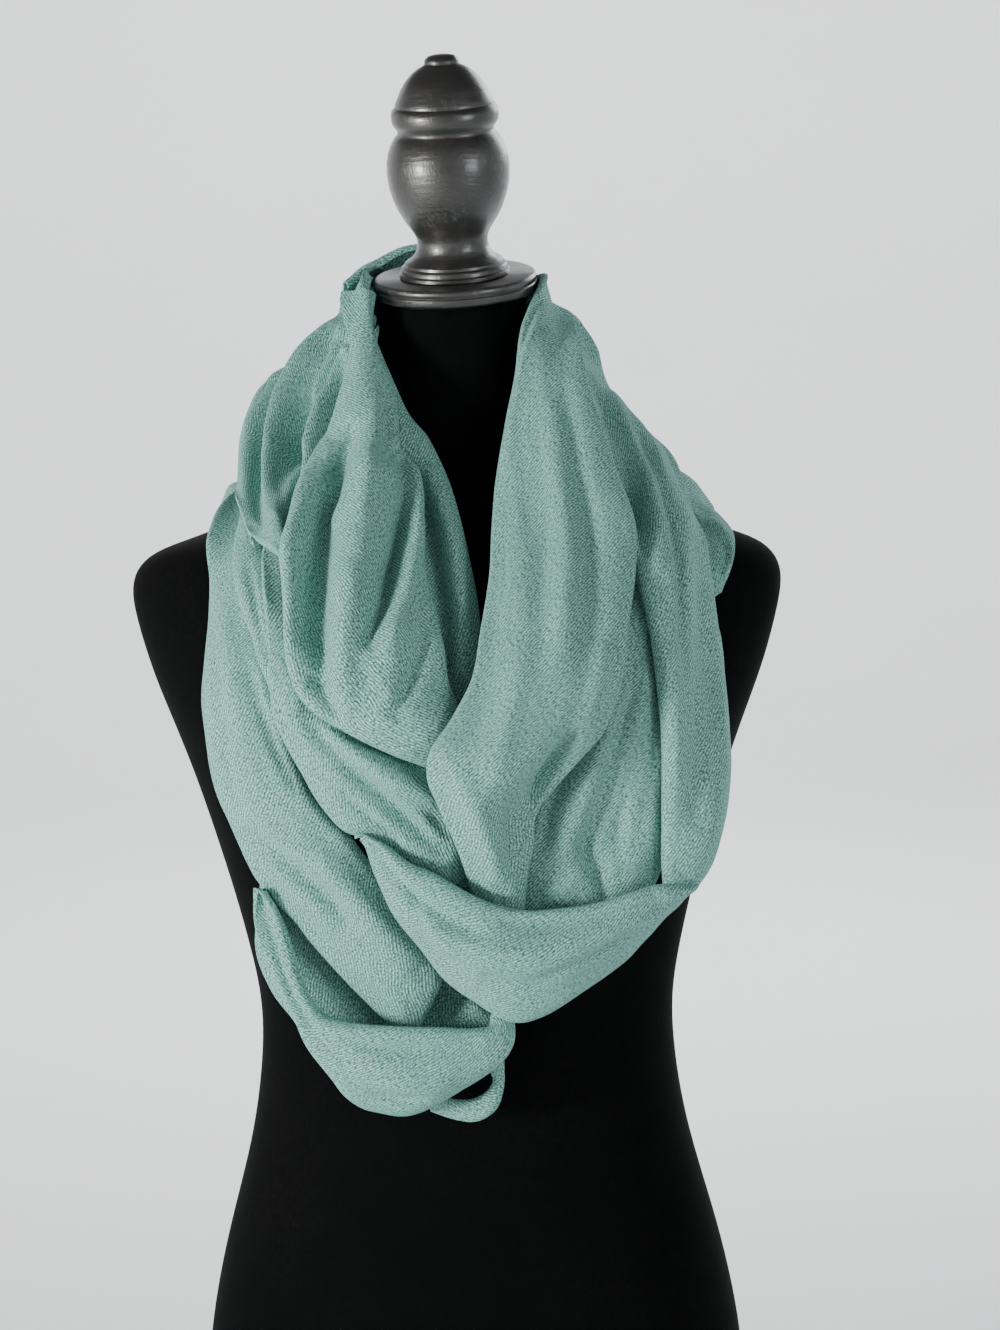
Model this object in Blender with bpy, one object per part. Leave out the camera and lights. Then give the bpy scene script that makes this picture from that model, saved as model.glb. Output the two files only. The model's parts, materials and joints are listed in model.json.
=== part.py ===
"""Infinity scarf wound twice round the neck of a limbless dress form on a turned wood stand.

Sizes are millimetres until the meshes are made. The front faces -Y, +Z is up, and the origin is on
the floor under the middle of the form.

The scarf is one loop of light cloth. Each stretch of it that shows is a solid of its own: a wall
lofted along a short table of cross sections, with rolled long edges, its largest folds, and its
place worked out from what it lies on, so that it rests on the form and on the stretches under it.
"""

import math
from collections import namedtuple

import bpy
from mathutils import Euler, Vector
from mathutils.bvhtree import BVHTree

MM = 0.001

# Cloth
WALL = 1.8
SEAT_GAP = 0.3
SEAT_STEP = 0.1
SEAT_TRIES = 60
EDGE_CURL = math.radians(65)
FULL_CURL_ROLL = 6.0
STATION_STEP = 17.0
ACROSS_STEP = 12.0
DRAPE_REACH = 60.0
DRAPE_PASSES = 14
ARC_POINTS = 3

# Dress form
FORM_SIDES = 36
RING_STEP = 26.0
FORM_BOTTOM = 120.0
BUST_SPREAD = 78.0
BUST_HEIGHT = 572.0
BUST_LIFT = 22.0
BUST_RADIUS = 46.0

# Neck cap and finial, on a common axis that tips forward with the neck
CAP_TIP = math.radians(14)
CAP_LEAN = math.radians(2)
CAP_CENTRE = Vector((3.0, 0.0, 847.0))
CAP_RADIUS = 47.2
CAP_THICKNESS = 10.5
CAP_EDGE = 1.6
LATHE_SIDES = 28

# Stand
POLE_RADIUS = 16.0
BASE_RADIUS = 150.0
BASE_THICKNESS = 22.0
BASE_EDGE = 5.0

Ring = namedtuple("Ring", "height half_width front back tip_degrees")
Row = namedtuple("Row", "ax ay az bx by bz crown")
Fold = namedtuple("Fold", "from_along from_across to_along to_across lift half_width")
Stretch = namedtuple("Stretch", "name rows folds roll")
Finish = namedtuple("Finish", "name colour roughness")

VELVET = Finish("black_velvet", (0.006, 0.008, 0.008, 1), 0.95)
WOOD = Finish("black_wood", (0.02, 0.018, 0.017, 1), 0.38)
CLOTH = Finish("teal_cloth", (0.23, 0.42, 0.38, 1), 0.85)

# The form's level cuts. The top ones tip forward with the neck.
FORM_RINGS = (
    Ring(120, 158, 97, 108, 0),
    Ring(150, 163, 102, 113, 0),
    Ring(215, 161, 104, 115, 0),
    Ring(280, 148, 98, 106, 0),
    Ring(345, 130, 91, 91, 0),
    Ring(409, 122, 88, 82, 0),
    Ring(455, 128, 92, 85, 0),
    Ring(511, 142, 104, 93, 0),
    Ring(570, 160, 112, 100, 0),
    Ring(622, 180, 104, 101, 0),
    Ring(655, 189, 95, 99, 0),
    Ring(672, 191, 90, 97, 0),
    Ring(684, 186, 86, 95, 0),
    Ring(693, 174, 82, 92, 0),
    Ring(701, 146, 78, 89, 0),
    Ring(716, 110, 71, 84, 0),
    Ring(738, 78, 61, 75, 2),
    Ring(762, 58, 52, 65, 5),
    Ring(790, 47, 45, 54, 9),
    Ring(815, 44.5, 43, 48, 12),
    Ring(834.8, 43.5, 42.5, 46, 14),
)

# Radius and height along the axis, from the top face of the cap.
FINIAL_PROFILE = (
    (32.0, 0.3), (32.0, 2.8), (30.4, 3.4), (30.4, 6.0), (28.2, 6.8), (28.2, 8.6),
    (22.6, 12.6), (20.2, 19.0), (21.6, 25.0), (27.0, 33.0), (32.4, 45.0), (35.0, 60.0),
    (33.4, 71.0), (29.2, 79.5), (27.4, 81.0), (27.4, 83.5), (30.2, 88.0), (30.2, 95.0),
    (26.4, 99.5), (22.2, 108.5), (13.4, 116.6), (10.0, 118.4), (9.4, 121.0), (0.0, 124.0),
)

# Each row is one cross section: edge a, edge b, and how far the cloth crowns outward between them.
INNER_FALL_LEFT = (
    Row(-47, -20, 826, -38, -38, 806, 1),
    Row(-44, -60, 776, -27, -52, 771, 3),
    Row(-37, -72, 749, -12, -62, 752, 4),
    Row(-29, -85, 722, 0, -78, 725, 4),
    Row(-26, -104, 690, 9, -102, 689, 5),
    Row(-22, -122, 659, 14, -122, 656, 5),
    Row(-19, -134, 628, 12, -134, 628, 4),
    Row(-15, -138, 597, 7, -138, 593, 3),
)
BACK_DRAPE = (
    Row(-112, 28, 728, -139, 26, 707, 5),
    Row(-102, 58, 743, -143, 63, 691, 7),
    Row(-60, 80, 752, -84, 97, 655, 10),
    Row(0, 90, 752, 0, 110, 632, 11),
    Row(60, 80, 752, 84, 97, 655, 10),
    Row(102, 58, 742, 143, 62, 693, 7),
    Row(112, 26, 728, 149, 24, 705, 5),
)
NAPE_WRAP = (
    Row(-47, 14, 836, -96, 20, 742, 2),
    Row(-46, 28, 840, -95, 46, 739, 4),
    Row(-41, 44, 844, -92, 83, 739, 7),
    Row(-22, 58, 851, -54, 110, 735, 10),
    Row(0, 63, 852, 0, 116, 730, 11),
    Row(22, 58, 850, 55, 111, 735, 10),
    Row(42, 44, 843, 92, 82, 740, 7),
    Row(46, 24, 837, 92, 46, 744, 2),
)
POUCH_BACK = (
    Row(-108, -107, 530, -83, -107, 540, 2),
    Row(-111, -111, 507, -77, -107, 517, -2),
    Row(-113, -115, 480, -59, -105, 494, -6),
    Row(-105, -119, 458, -38, -105, 470, -8),
    Row(-93, -121, 441, -19, -106, 457, -8),
    Row(-81, -119, 421, -3, -108, 449, -6),
    Row(-65, -115, 404, 12, -111, 443, -3),
    Row(-45, -111, 392, 20, -115, 436, 0),
)
LEFT_OUTER_BAND = (
    Row(-122, 16, 708, -94, 7, 724, 2),
    Row(-126, -16, 705, -98, -36, 716, 2),
    Row(-126, -59, 682, -106, -88, 685, 4),
    Row(-134, -77, 651, -104, -113, 652, 5),
    Row(-137, -93, 623, -96, -128, 629, 6),
    Row(-136, -104, 599, -89, -134, 600, 7),
    Row(-133, -113, 574, -76, -137, 571, 8),
    Row(-125, -117, 551, -61, -138, 550, 9),
    Row(-116, -120, 531, -49, -138, 533, 9),
    Row(-105, -122, 513, -36, -137, 516, 9),
    Row(-90, -121, 495, -25, -136, 499, 8),
    Row(-75, -121, 476, -16, -134, 482, 7),
    Row(-61, -120, 459, -11, -131, 466, 6),
    Row(-47, -119, 444, -15, -127, 453, 4),
    Row(-36, -118, 432, -25, -122, 435, 2),
)
LEFT_SIDE_TUCK = (
    Row(-118, -54, 714, -101, -68, 710, 1),
    Row(-118, -70, 702, -101, -86, 699, 2),
    Row(-117, -88, 687, -99, -102, 683, 3),
    Row(-112, -107, 666, -96, -118, 663, 3),
    Row(-106, -115, 652, -94, -127, 648, 3),
    Row(-100, -128, 633, -91, -135, 629, 2),
    Row(-95, -138, 612, -85, -140, 610, 1),
)
RIGHT_SHOULDER_FLAP = (
    Row(119, 34, 736, 144, 43, 705, 4),
    Row(129, 4, 722, 147, 17, 700, 3),
    Row(131, -25, 708, 153, -4, 703, 3),
    Row(131, -56, 694, 158, -31, 695, 3),
    Row(132, -70, 677, 155, -56, 681, 2),
    Row(136, -73, 659, 148, -66, 665, 1),
)
LEFT_MIDDLE_BAND = (
    Row(-102, -79, 712.6, -88, -88, 708.6, 2),
    Row(-101, -99, 691, -86, -105, 689, 2),
    Row(-98, -119, 665, -82, -123, 663, 2),
    Row(-96, -132, 646, -80, -135, 646, 3),
    Row(-96, -141, 629, -74, -144, 633, 4),
    Row(-92, -145, 605, -58, -151, 618, 6),
    Row(-84, -146, 584, -41, -153, 605, 9),
    Row(-74, -146, 565, -27, -154, 597, 11),
    Row(-61, -145, 550, -15, -154, 586, 12),
    Row(-43, -145, 544, -6, -152, 569, 11),
    Row(-29, -144, 530, 0, -149, 550, 8),
    Row(-11, -142, 520, 6, -145, 532, 5),
    Row(8, -139, 508, 12, -140, 515, 2),
)
INNER_FALL_RIGHT = (
    Row(85, -92, 698, 111, -84, 678, 3),
    Row(80, -112, 667, 114, -98, 656, 4),
    Row(74, -126, 636, 116, -110, 631, 6),
    Row(65, -135, 608, 119, -118, 603, 7),
    Row(53, -140, 585, 118, -122, 577, 8),
    Row(42, -142, 561, 116, -125, 553, 8),
    Row(34, -142, 537, 112, -126, 531, 7),
    Row(29, -141, 515, 105, -127, 514, 6),
    Row(26, -138, 495, 97, -126, 497, 4),
)
RIGHT_OUTER_FALL = (
    Row(55, -28, 811, 60, 32, 813, 1),
    Row(62, -42, 795, 71, 38, 793, 3),
    Row(73, -58, 768, 102, 34, 757, 6),
    Row(82, -74, 738, 126, 10, 736, 9),
    Row(90, -91, 708, 133, -43, 710, 9),
    Row(97, -111, 685, 138, -71, 683, 8),
    Row(103, -125, 659, 142, -85, 653, 8),
    Row(108, -134, 631, 143, -86, 619, 8),
    Row(109, -139, 602, 146, -98, 590, 8),
    Row(109, -144, 573, 146, -106, 562, 8),
    Row(109, -145, 549, 142, -112, 541, 7),
    Row(109, -143, 529, 135, -118, 526, 6),
    Row(110, -140, 513, 126, -124, 514, 4),
)
LEFT_COWL = (
    Row(-44, -32, 838, -50, -20, 835, 2),
    Row(-43, -45, 817, -53, -41, 813, 3),
    Row(-38, -56, 801, -57, -52, 794, 5),
    Row(-31, -67, 785, -63, -63, 778, 7),
    Row(-29, -77, 769, -69, -75, 759, 9),
    Row(-26, -87, 751, -76, -88, 741, 10),
    Row(-16, -99, 733, -83, -104, 721, 11),
    Row(-16, -114, 708, -86, -119, 695, 12),
    Row(-14, -130, 683, -87, -137, 669, 12),
    Row(-9, -142, 665, -85, -150, 642, 11),
    Row(-5, -150, 648, -77, -160, 621, 11),
    Row(-3, -154, 630, -58, -164, 606, 10),
    Row(3, -155, 617, -35, -166, 594, 8),
    Row(13, -153, 606, -14, -162, 585, 5),
    Row(26, -150, 601, 9, -157, 574, 3),
)
RIGHT_FRONT_FALL = (
    Row(-40, 60, 846, -62, 94, 792, 1),
    Row(-24, 66, 851, -44, 104, 787, 4),
    Row(0, 70, 856, 0, 112, 784, 5),
    Row(26, 62, 854, 40, 98, 788, 4),
    Row(45, 36, 847, 65, 66, 804, 3),
    Row(49, 0, 842, 59, 16, 824, 2),
    Row(46, -24, 829, 61, -8, 814, 3),
    Row(40, -41, 814, 64, -29, 800, 4),
    Row(35, -57, 788, 73, -51, 784, 6),
    Row(29, -72, 761, 84, -71, 759, 6),
    Row(24, -88, 734, 91, -88, 734, 7),
    Row(21, -106, 708, 98, -104, 709, 8),
    Row(19, -128, 683, 98, -120, 684, 9),
    Row(14, -149, 656, 93, -139, 657, 9),
    Row(9, -165, 632, 88, -150, 628, 9),
    Row(-3, -175, 611, 79, -156, 603, 9),
    Row(-13, -181, 597, 64, -160, 586, 9),
    Row(-15, -178, 582, 52, -160, 572, 8),
    Row(-10, -172, 567, 42, -158, 558, 7),
    Row(-2, -166, 546, 40, -155, 542, 5),
    Row(4, -158, 526, 36, -152, 522, 4),
    Row(8, -150, 504, 33, -148, 501, 3),
    Row(13, -143, 486, 29, -141, 485, 2),
)
LEFT_SHOULDER_PLEATS = (
    Row(-43, 14, 845, -36, 54, 850, 4),
    Row(-44, -14, 839, -48, 56, 844, 3),
    Row(-45, -20, 828, -62, 56, 827, 3),
    Row(-47, -31, 813, -84, 52, 813, 4),
    Row(-52, -44, 797, -99, 45, 797, 6),
    Row(-58, -53, 780, -111, 37, 782, 7),
    Row(-63, -65, 762, -120, 25, 765, 8),
    Row(-69, -77, 744, -124, 8, 750, 8),
    Row(-76, -91, 726, -122, -18, 736, 7),
    Row(-81, -104, 711, -119, -48, 722, 6),
    Row(-84, -114, 700, -114, -75, 711, 4),
    Row(-87, -122, 692, -109, -94, 702, 3),
)
POUCH_TWIST = (
    Row(10, -122.2, 432, 20, -115.2, 429, 1),
    Row(12, -120.5, 414, 21, -114.5, 414, 1),
    Row(16, -121, 406, 20, -115, 401, 1),
    Row(11, -118, 398, 17, -114, 388, 1),
    Row(2, -115, 393, 6, -112, 380, 1),
    Row(-9, -113, 393, -7, -110, 381, 1),
    Row(-19, -111, 396, -20, -108, 385, 1),
)
BOTTOM_POUCH = (
    Row(-102, -118, 514, -112, -116, 515, 0),
    Row(-98, -121, 501, -111, -119, 499, 1),
    Row(-92, -128, 486, -108, -125, 481, 2),
    Row(-87, -134, 468, -101, -128, 464, 3),
    Row(-82, -138, 455, -91, -130, 449, 3),
    Row(-75, -143, 447, -81, -130, 431, 4),
    Row(-62, -147, 445, -72, -128, 416, 6),
    Row(-47, -149, 444, -62, -125, 399, 9),
    Row(-30, -150, 443, -47, -123, 390, 11),
    Row(-10, -150, 442, -28, -122, 389, 11),
    Row(7, -148, 440, 1, -124, 407, 8),
    Row(18, -144, 441, 16, -127, 421, 5),
    Row(20, -138, 450, 22, -127, 434, 2),
    Row(19, -133, 462, 30, -128, 449, 1),
)
FRONT_SWAG = (
    Row(-53, -146, 549, -55, -142, 541, 0),
    Row(-46, -148, 546, -50, -143, 532, 2),
    Row(-39, -154, 544, -43, -143, 519, 5),
    Row(-30, -164, 537, -32, -143, 502, 7),
    Row(-14, -167, 530, -19, -144, 485, 9),
    Row(2, -170, 521, -8, -144, 469, 11),
    Row(17, -172, 514, 6, -144, 458, 12),
    Row(35, -172, 510, 26, -143, 445, 12),
    Row(53, -170, 510, 43, -142, 448, 11),
    Row(75, -167, 512, 62, -141, 461, 9),
    Row(95, -162, 517, 84, -140, 476, 7),
    Row(110, -155, 519, 100, -138, 496, 5),
    Row(124, -138, 516, 123, -134, 510, 2),
)

INNER_FALL_LEFT_FOLDS = (
    Fold(0.26, 0.42, 0.89, 0.42, -4, 7),
    Fold(0.36, 0.65, 0.8, 0.75, 3, 6),
)
BACK_DRAPE_FOLDS = (
    Fold(0.06, 0.3, 0.94, 0.32, -6, 11),
    Fold(0.05, 0.52, 0.82, 0.56, 5, 11),
    Fold(0.2, 0.76, 0.95, 0.7, -6, 10),
)
NAPE_WRAP_FOLDS = (
    Fold(0.05, 0.35, 0.76, 0.45, -6, 10),
    Fold(0.14, 0.62, 0.96, 0.58, 5, 11),
    Fold(0.28, 0.8, 0.94, 0.8, -5, 9),
)
LEFT_OUTER_FOLDS = (
    Fold(0.47, 0.1, 0.92, 0.2, -5, 10),
    Fold(0.52, 0.7, 0.84, 0.78, 5, 9),
    Fold(0.3, 0.62, 0.52, 0.58, -3, 10),
    Fold(0.16, 0.33, 0.46, 0.3, 3, 10),
)
LEFT_MIDDLE_FOLDS = (
    Fold(0.4, 0.38, 0.86, 0.57, -5, 11),
    Fold(0.47, 0.62, 0.78, 0.9, 4, 12),
)
INNER_FALL_RIGHT_FOLDS = (
    Fold(0.08, 0.5, 0.8, 0.22, 5, 9),
    Fold(0.18, 0.72, 0.88, 0.52, -5, 9),
    Fold(0.38, 0.8, 0.9, 0.8, 4, 9),
)
RIGHT_OUTER_FOLDS = (
    Fold(0.08, 0.22, 0.42, 0.22, -6, 9),
    Fold(0.14, 0.44, 0.52, 0.4, 5, 10),
    Fold(0.38, 0.68, 0.82, 0.5, -4, 9),
    Fold(0.1, 0.78, 0.36, 0.84, -5, 10),
)
LEFT_COWL_FOLDS = (
    Fold(0.29, 0.62, 0.72, 0.87, -7, 12),
    Fold(0.3, 0.3, 0.7, 0.54, 4, 13),
    Fold(0.36, 0.1, 0.66, 0.36, -5, 11),
    Fold(0.64, 0.15, 0.84, 0.8, 3, 12),
)
RIGHT_FRONT_FOLDS = (
    Fold(0.42, 0.24, 0.66, 0.42, -4, 9),
    Fold(0.4, 0.6, 0.66, 0.74, -4, 8),
    Fold(0.72, 0.74, 0.86, 0.84, -6, 9),
    Fold(0.58, 0.12, 0.74, 0.2, -3, 9),
    Fold(0.76, 0.3, 0.93, 0.5, 4, 11),
    Fold(0.06, 0.4, 0.34, 0.6, -5, 9),
)
LEFT_SHOULDER_FOLDS = (
    Fold(0.12, 0.24, 0.97, 0.1, 7, 11),
    Fold(0.18, 0.38, 0.86, 0.28, -6, 11),
    Fold(0.24, 0.5, 0.8, 0.46, 3, 12),
    Fold(0.12, 0.68, 0.92, 0.62, -6, 12),
    Fold(0.2, 0.84, 0.96, 0.8, 5, 12),
)
BOTTOM_POUCH_FOLDS = (
    Fold(0.18, 0.55, 0.6, 0.88, 4, 9),
    Fold(0.22, 0.25, 0.74, 0.6, -4, 9),
)
FRONT_SWAG_FOLDS = (
    Fold(0.1, 0.42, 0.5, 0.62, -5, 9),
    Fold(0.3, 0.3, 0.84, 0.42, 4, 11),
    Fold(0.48, 0.6, 0.88, 0.64, -4, 10),
)

# From the innermost stretch to the outermost, so that each is laid over those before it.
SCARF = (
    Stretch("inner_fall_left", INNER_FALL_LEFT, INNER_FALL_LEFT_FOLDS, 5),
    Stretch("back_drape", BACK_DRAPE, BACK_DRAPE_FOLDS, 5),
    Stretch("pouch_back", POUCH_BACK, (), 5),
    Stretch("left_outer_band", LEFT_OUTER_BAND, LEFT_OUTER_FOLDS, 7),
    Stretch("nape_wrap", NAPE_WRAP, NAPE_WRAP_FOLDS, 4),
    Stretch("left_side_tuck", LEFT_SIDE_TUCK, (), 4),
    Stretch("right_shoulder_flap", RIGHT_SHOULDER_FLAP, (), 3),
    Stretch("left_middle_band", LEFT_MIDDLE_BAND, LEFT_MIDDLE_FOLDS, 6),
    Stretch("inner_fall_right", INNER_FALL_RIGHT, INNER_FALL_RIGHT_FOLDS, 6),
    Stretch("right_outer_fall", RIGHT_OUTER_FALL, RIGHT_OUTER_FOLDS, 6),
    Stretch("left_shoulder_pleats", LEFT_SHOULDER_PLEATS, LEFT_SHOULDER_FOLDS, 4),
    Stretch("left_cowl", LEFT_COWL, LEFT_COWL_FOLDS, 6),
    Stretch("right_front_fall", RIGHT_FRONT_FALL, RIGHT_FRONT_FOLDS, 5),
    Stretch("pouch_twist", POUCH_TWIST, (), 3),
    Stretch("bottom_pouch", BOTTOM_POUCH, BOTTOM_POUCH_FOLDS, 6),
    Stretch("front_swag", FRONT_SWAG, FRONT_SWAG_FOLDS, 6),
)


def clear_scene():
    for obj in list(bpy.data.objects):
        bpy.data.objects.remove(obj, do_unlink=True)


def material(finish):
    found = bpy.data.materials.get(finish.name)
    if found:
        return found
    made = bpy.data.materials.new(finish.name)
    made.use_nodes = True
    shader = made.node_tree.nodes["Principled BSDF"]
    shader.inputs["Base Color"].default_value = finish.colour
    shader.inputs["Roughness"].default_value = finish.roughness
    return made


def make_object(name, points, faces, finish):
    mesh = bpy.data.meshes.new(name)
    mesh.from_pydata([point * MM for point in points], [], faces)
    mesh.materials.append(material(finish))
    mesh.shade_smooth()
    mesh.set_sharp_from_angle(angle=math.radians(50))
    made = bpy.data.objects.new(name, mesh)
    bpy.context.scene.collection.objects.link(made)
    return made


def catmull_rom(before, start, end, after, share):
    """The value at this share of the way from start to end, on a curve that runs through all four."""
    return 0.5 * (
        2 * start
        + (end - before) * share
        + (2 * before - 5 * start + 4 * end - after) * share**2
        + (3 * start - before - 3 * end + after) * share**3
    )


def between_rows(rows, place):
    """A row of the table at a place that counts rows, such as 2.5 for half-way past the third."""
    index = min(int(place), len(rows) - 2)
    share = place - index
    start, end = rows[index], rows[index + 1]
    before = rows[index - 1] if index else [2 * s - e for s, e in zip(start, end)]
    after = rows[index + 2] if index + 2 < len(rows) else [2 * e - s for s, e in zip(start, end)]
    values = [catmull_rom(*four, share) for four in zip(before, start, end, after)]
    return type(rows[0])(*values)


def grid_faces(across, along, closed):
    """Quads between neighbouring lines of a grid of points, whose lines may close on themselves."""
    faces = []
    for line in range(along - 1):
        for step in range(across if closed else across - 1):
            following = (step + 1) % across
            faces.append(
                (
                    line * across + step,
                    line * across + following,
                    (line + 1) * across + following,
                    (line + 1) * across + step,
                )
            )
    return faces


# ---------------------------------------------------------------- dress form and its wood


def form_point(ring, angle):
    """A point of one level cut: half an ellipse in front, half behind, with the bust raised on it."""
    depth = ring.front if math.sin(angle) < 0 else ring.back
    x = ring.half_width * math.cos(angle)
    y = depth * math.sin(angle)
    if y < 0:
        for side in (-1, 1):
            away = math.hypot(x - side * BUST_SPREAD, ring.height - BUST_HEIGHT) / BUST_RADIUS
            y -= BUST_LIFT * math.exp(-(away**2)) * -math.sin(angle)
    tip = math.radians(ring.tip_degrees)
    return Vector((x, y * math.cos(tip), ring.height + y * math.sin(tip)))


def form_places():
    """Where the form is cut: each row of its table, and evenly in the tall stretches between them."""
    places = []
    for index in range(len(FORM_RINGS) - 1):
        rise = FORM_RINGS[index + 1].height - FORM_RINGS[index].height
        cuts = max(1, round(rise / RING_STEP))
        places += [index + cut / cuts for cut in range(cuts)]
    return places + [len(FORM_RINGS) - 1]


def dress_form():
    points = []
    places = form_places()
    for place in places:
        ring = between_rows(FORM_RINGS, place)
        for side in range(FORM_SIDES):
            points.append(form_point(ring, 2 * math.pi * side / FORM_SIDES))
    faces = grid_faces(FORM_SIDES, len(places), True)
    last = len(points) - FORM_SIDES
    axis = Euler((CAP_TIP, -CAP_LEAN, 0)).to_matrix() @ Vector((0, 0, 1))
    under_cap = CAP_CENTRE - axis * (CAP_THICKNESS + SEAT_GAP)
    for point in points[last:]:
        point.z -= (point - under_cap).dot(axis) / axis.z
    faces.append(tuple(reversed(range(FORM_SIDES))))
    faces.append(tuple(range(last, last + FORM_SIDES)))
    return make_object("form_torso", points, faces, VELVET)


def lathe(name, profile, finish, place, turn):
    """A turned piece. The profile runs up its outer side, from the bottom to the top."""
    points = []
    for radius, height in profile:
        for side in range(LATHE_SIDES):
            angle = 2 * math.pi * side / LATHE_SIDES
            points.append(
                Vector((radius * math.cos(angle), radius * math.sin(angle), height))
            )
    faces = grid_faces(LATHE_SIDES, len(profile), True)
    last = len(points) - LATHE_SIDES
    faces.append(tuple(reversed(range(LATHE_SIDES))))
    faces.append(tuple(range(last, last + LATHE_SIDES)))
    made = make_object(name, points, faces, finish)
    made.location = place * MM
    made.rotation_euler = turn
    return made


def wood_pieces():
    upright = (0, 0, 0)
    tipped = (CAP_TIP, -CAP_LEAN, 0)
    cap = (
        (CAP_RADIUS - CAP_EDGE, -CAP_THICKNESS),
        (CAP_RADIUS, CAP_EDGE - CAP_THICKNESS),
        (CAP_RADIUS, -CAP_EDGE),
        (CAP_RADIUS - CAP_EDGE, 0),
    )
    tip_radius = 0.6
    finial = FINIAL_PROFILE[:-1] + ((tip_radius, FINIAL_PROFILE[-1][1]),)
    pole_bottom = BASE_THICKNESS + SEAT_GAP
    pole = ((POLE_RADIUS, pole_bottom), (POLE_RADIUS, FORM_BOTTOM - SEAT_GAP))
    base = (
        (BASE_RADIUS, 0),
        (BASE_RADIUS, BASE_THICKNESS - BASE_EDGE),
        (BASE_RADIUS - BASE_EDGE, BASE_THICKNESS),
    )
    lathe("neck_cap", cap, WOOD, CAP_CENTRE, tipped)
    lathe("neck_finial", finial, WOOD, CAP_CENTRE, tipped)
    lathe("stand_pole", pole, WOOD, Vector(), upright)
    lathe("stand_base", base, WOOD, Vector(), upright)


# ---------------------------------------------------------------- cloth


def section_outline(width, crown, edge_roll):
    """A cross section from edge a to edge b, as (across, out) from the middle of the line between.

    Both edges roll back under themselves; between them the cloth rises to its crown.
    """
    half = width / 2
    roll = min(edge_roll, half * 0.8)
    flat = half - roll * 0.9
    slope = math.atan(crown * math.pi / (2 * flat))
    turned = math.pi / 2 - slope
    curl = EDGE_CURL * min(1.0, roll / FULL_CURL_ROLL)
    arc = []
    for step in range(ARC_POINTS):
        angle = -curl + (turned + curl) * step / (ARC_POINTS - 1)
        arc.append((roll - half - roll * math.cos(angle), roll * math.sin(angle)))
    shoulder, rise = arc[-1]
    steps = max(3, round(2 * flat / ACROSS_STEP))
    middle = []
    for step in range(1, steps):
        t = -1 + 2 * step / steps
        middle.append((-shoulder * t, rise + crown * math.cos(math.pi * t / 2)))
    return arc + middle + [(-across, out) for across, out in reversed(arc)]


def fold_lift(folds, along, across, width):
    """How far the folds move a point of the cloth out or in."""
    total = 0.0
    for fold in folds:
        run = fold.to_along - fold.from_along
        share = (along - fold.from_along) / run
        if not 0 < share < 1:
            continue
        line = fold.from_across + share * (fold.to_across - fold.from_across)
        away = (across - line) * width / fold.half_width
        total += fold.lift * math.sin(math.pi * share) ** 0.7 * math.exp(-(away**2))
    return total


def resampled(outline, count):
    """The outline with this many points, evenly spaced between the same ends along its own steps."""
    made = []
    for step in range(count):
        place = step * (len(outline) - 1) / (count - 1)
        index = min(int(place), len(outline) - 2)
        share = place - index
        first, second = outline[index], outline[index + 1]
        made.append(tuple(f + (s - f) * share for f, s in zip(first, second)))
    return made


def row_places(rows):
    """Places along the table, evenly spaced on the line through the middles of its sections."""
    middles = [Vector(r[0:3]).lerp(Vector(r[3:6]), 0.5) for r in rows]
    lengths = [(b - a).length for a, b in zip(middles, middles[1:])]
    widest = max((Vector(r[0:3]) - Vector(r[3:6])).length for r in rows)
    stations = max(5, round(sum(lengths) / STATION_STEP) + 1)
    places = []
    for step in range(stations):
        wanted = sum(lengths) * step / (stations - 1)
        index = 0
        while index < len(lengths) - 1 and wanted > lengths[index]:
            wanted -= lengths[index]
            index += 1
        places.append(index + wanted / lengths[index])
    return places, widest


def cloth_grid(stretch):
    """Lines of points across the stretch, and for each line the direction out of the cloth."""
    places, widest = row_places(stretch.rows)
    count = 2 * ARC_POINTS + max(2, round(widest / ACROSS_STEP) - 1)
    lines, outs = [], []
    for place in places:
        row = between_rows(stretch.rows, place)
        ahead = between_rows(stretch.rows, min(place + 0.1, len(stretch.rows) - 1))
        behind = between_rows(stretch.rows, max(place - 0.1, 0))
        edge_a, edge_b = Vector(row[0:3]), Vector(row[3:6])
        middle = edge_a.lerp(edge_b, 0.5)
        forward = Vector(ahead[0:3]) + Vector(ahead[3:6]) - Vector(behind[0:3]) - Vector(behind[3:6])
        width = (edge_b - edge_a).length
        sideways = (edge_b - edge_a).normalized()
        out = sideways.cross(forward).normalized()
        if out.dot(Vector((middle.x, middle.y, 0))) < 0:
            out = -out
        outline = resampled(section_outline(width, row.crown, stretch.roll), count)
        along = place / (len(stretch.rows) - 1)
        line, ways = [], []
        for across, lift in outline:
            share = 0.5 + across / width
            lift += fold_lift(stretch.folds, along, share, width)
            line.append(middle + sideways * across + out * lift)
            tilt = 2 * across / width * math.atan(row.crown * math.pi / width)
            ways.append(out * math.cos(tilt) + sideways * math.sin(tilt))
        lines.append(line)
        outs.append(ways)
    return lines, outs


def with_whole_rolls(row):
    """The lifts across one section, with each rolled edge lifted as one."""
    edge_a, edge_b = max(row[:ARC_POINTS]), max(row[-ARC_POINTS:])
    return [edge_a] * ARC_POINTS + row[ARC_POINTS:-ARC_POINTS] + [edge_b] * ARC_POINTS


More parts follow.
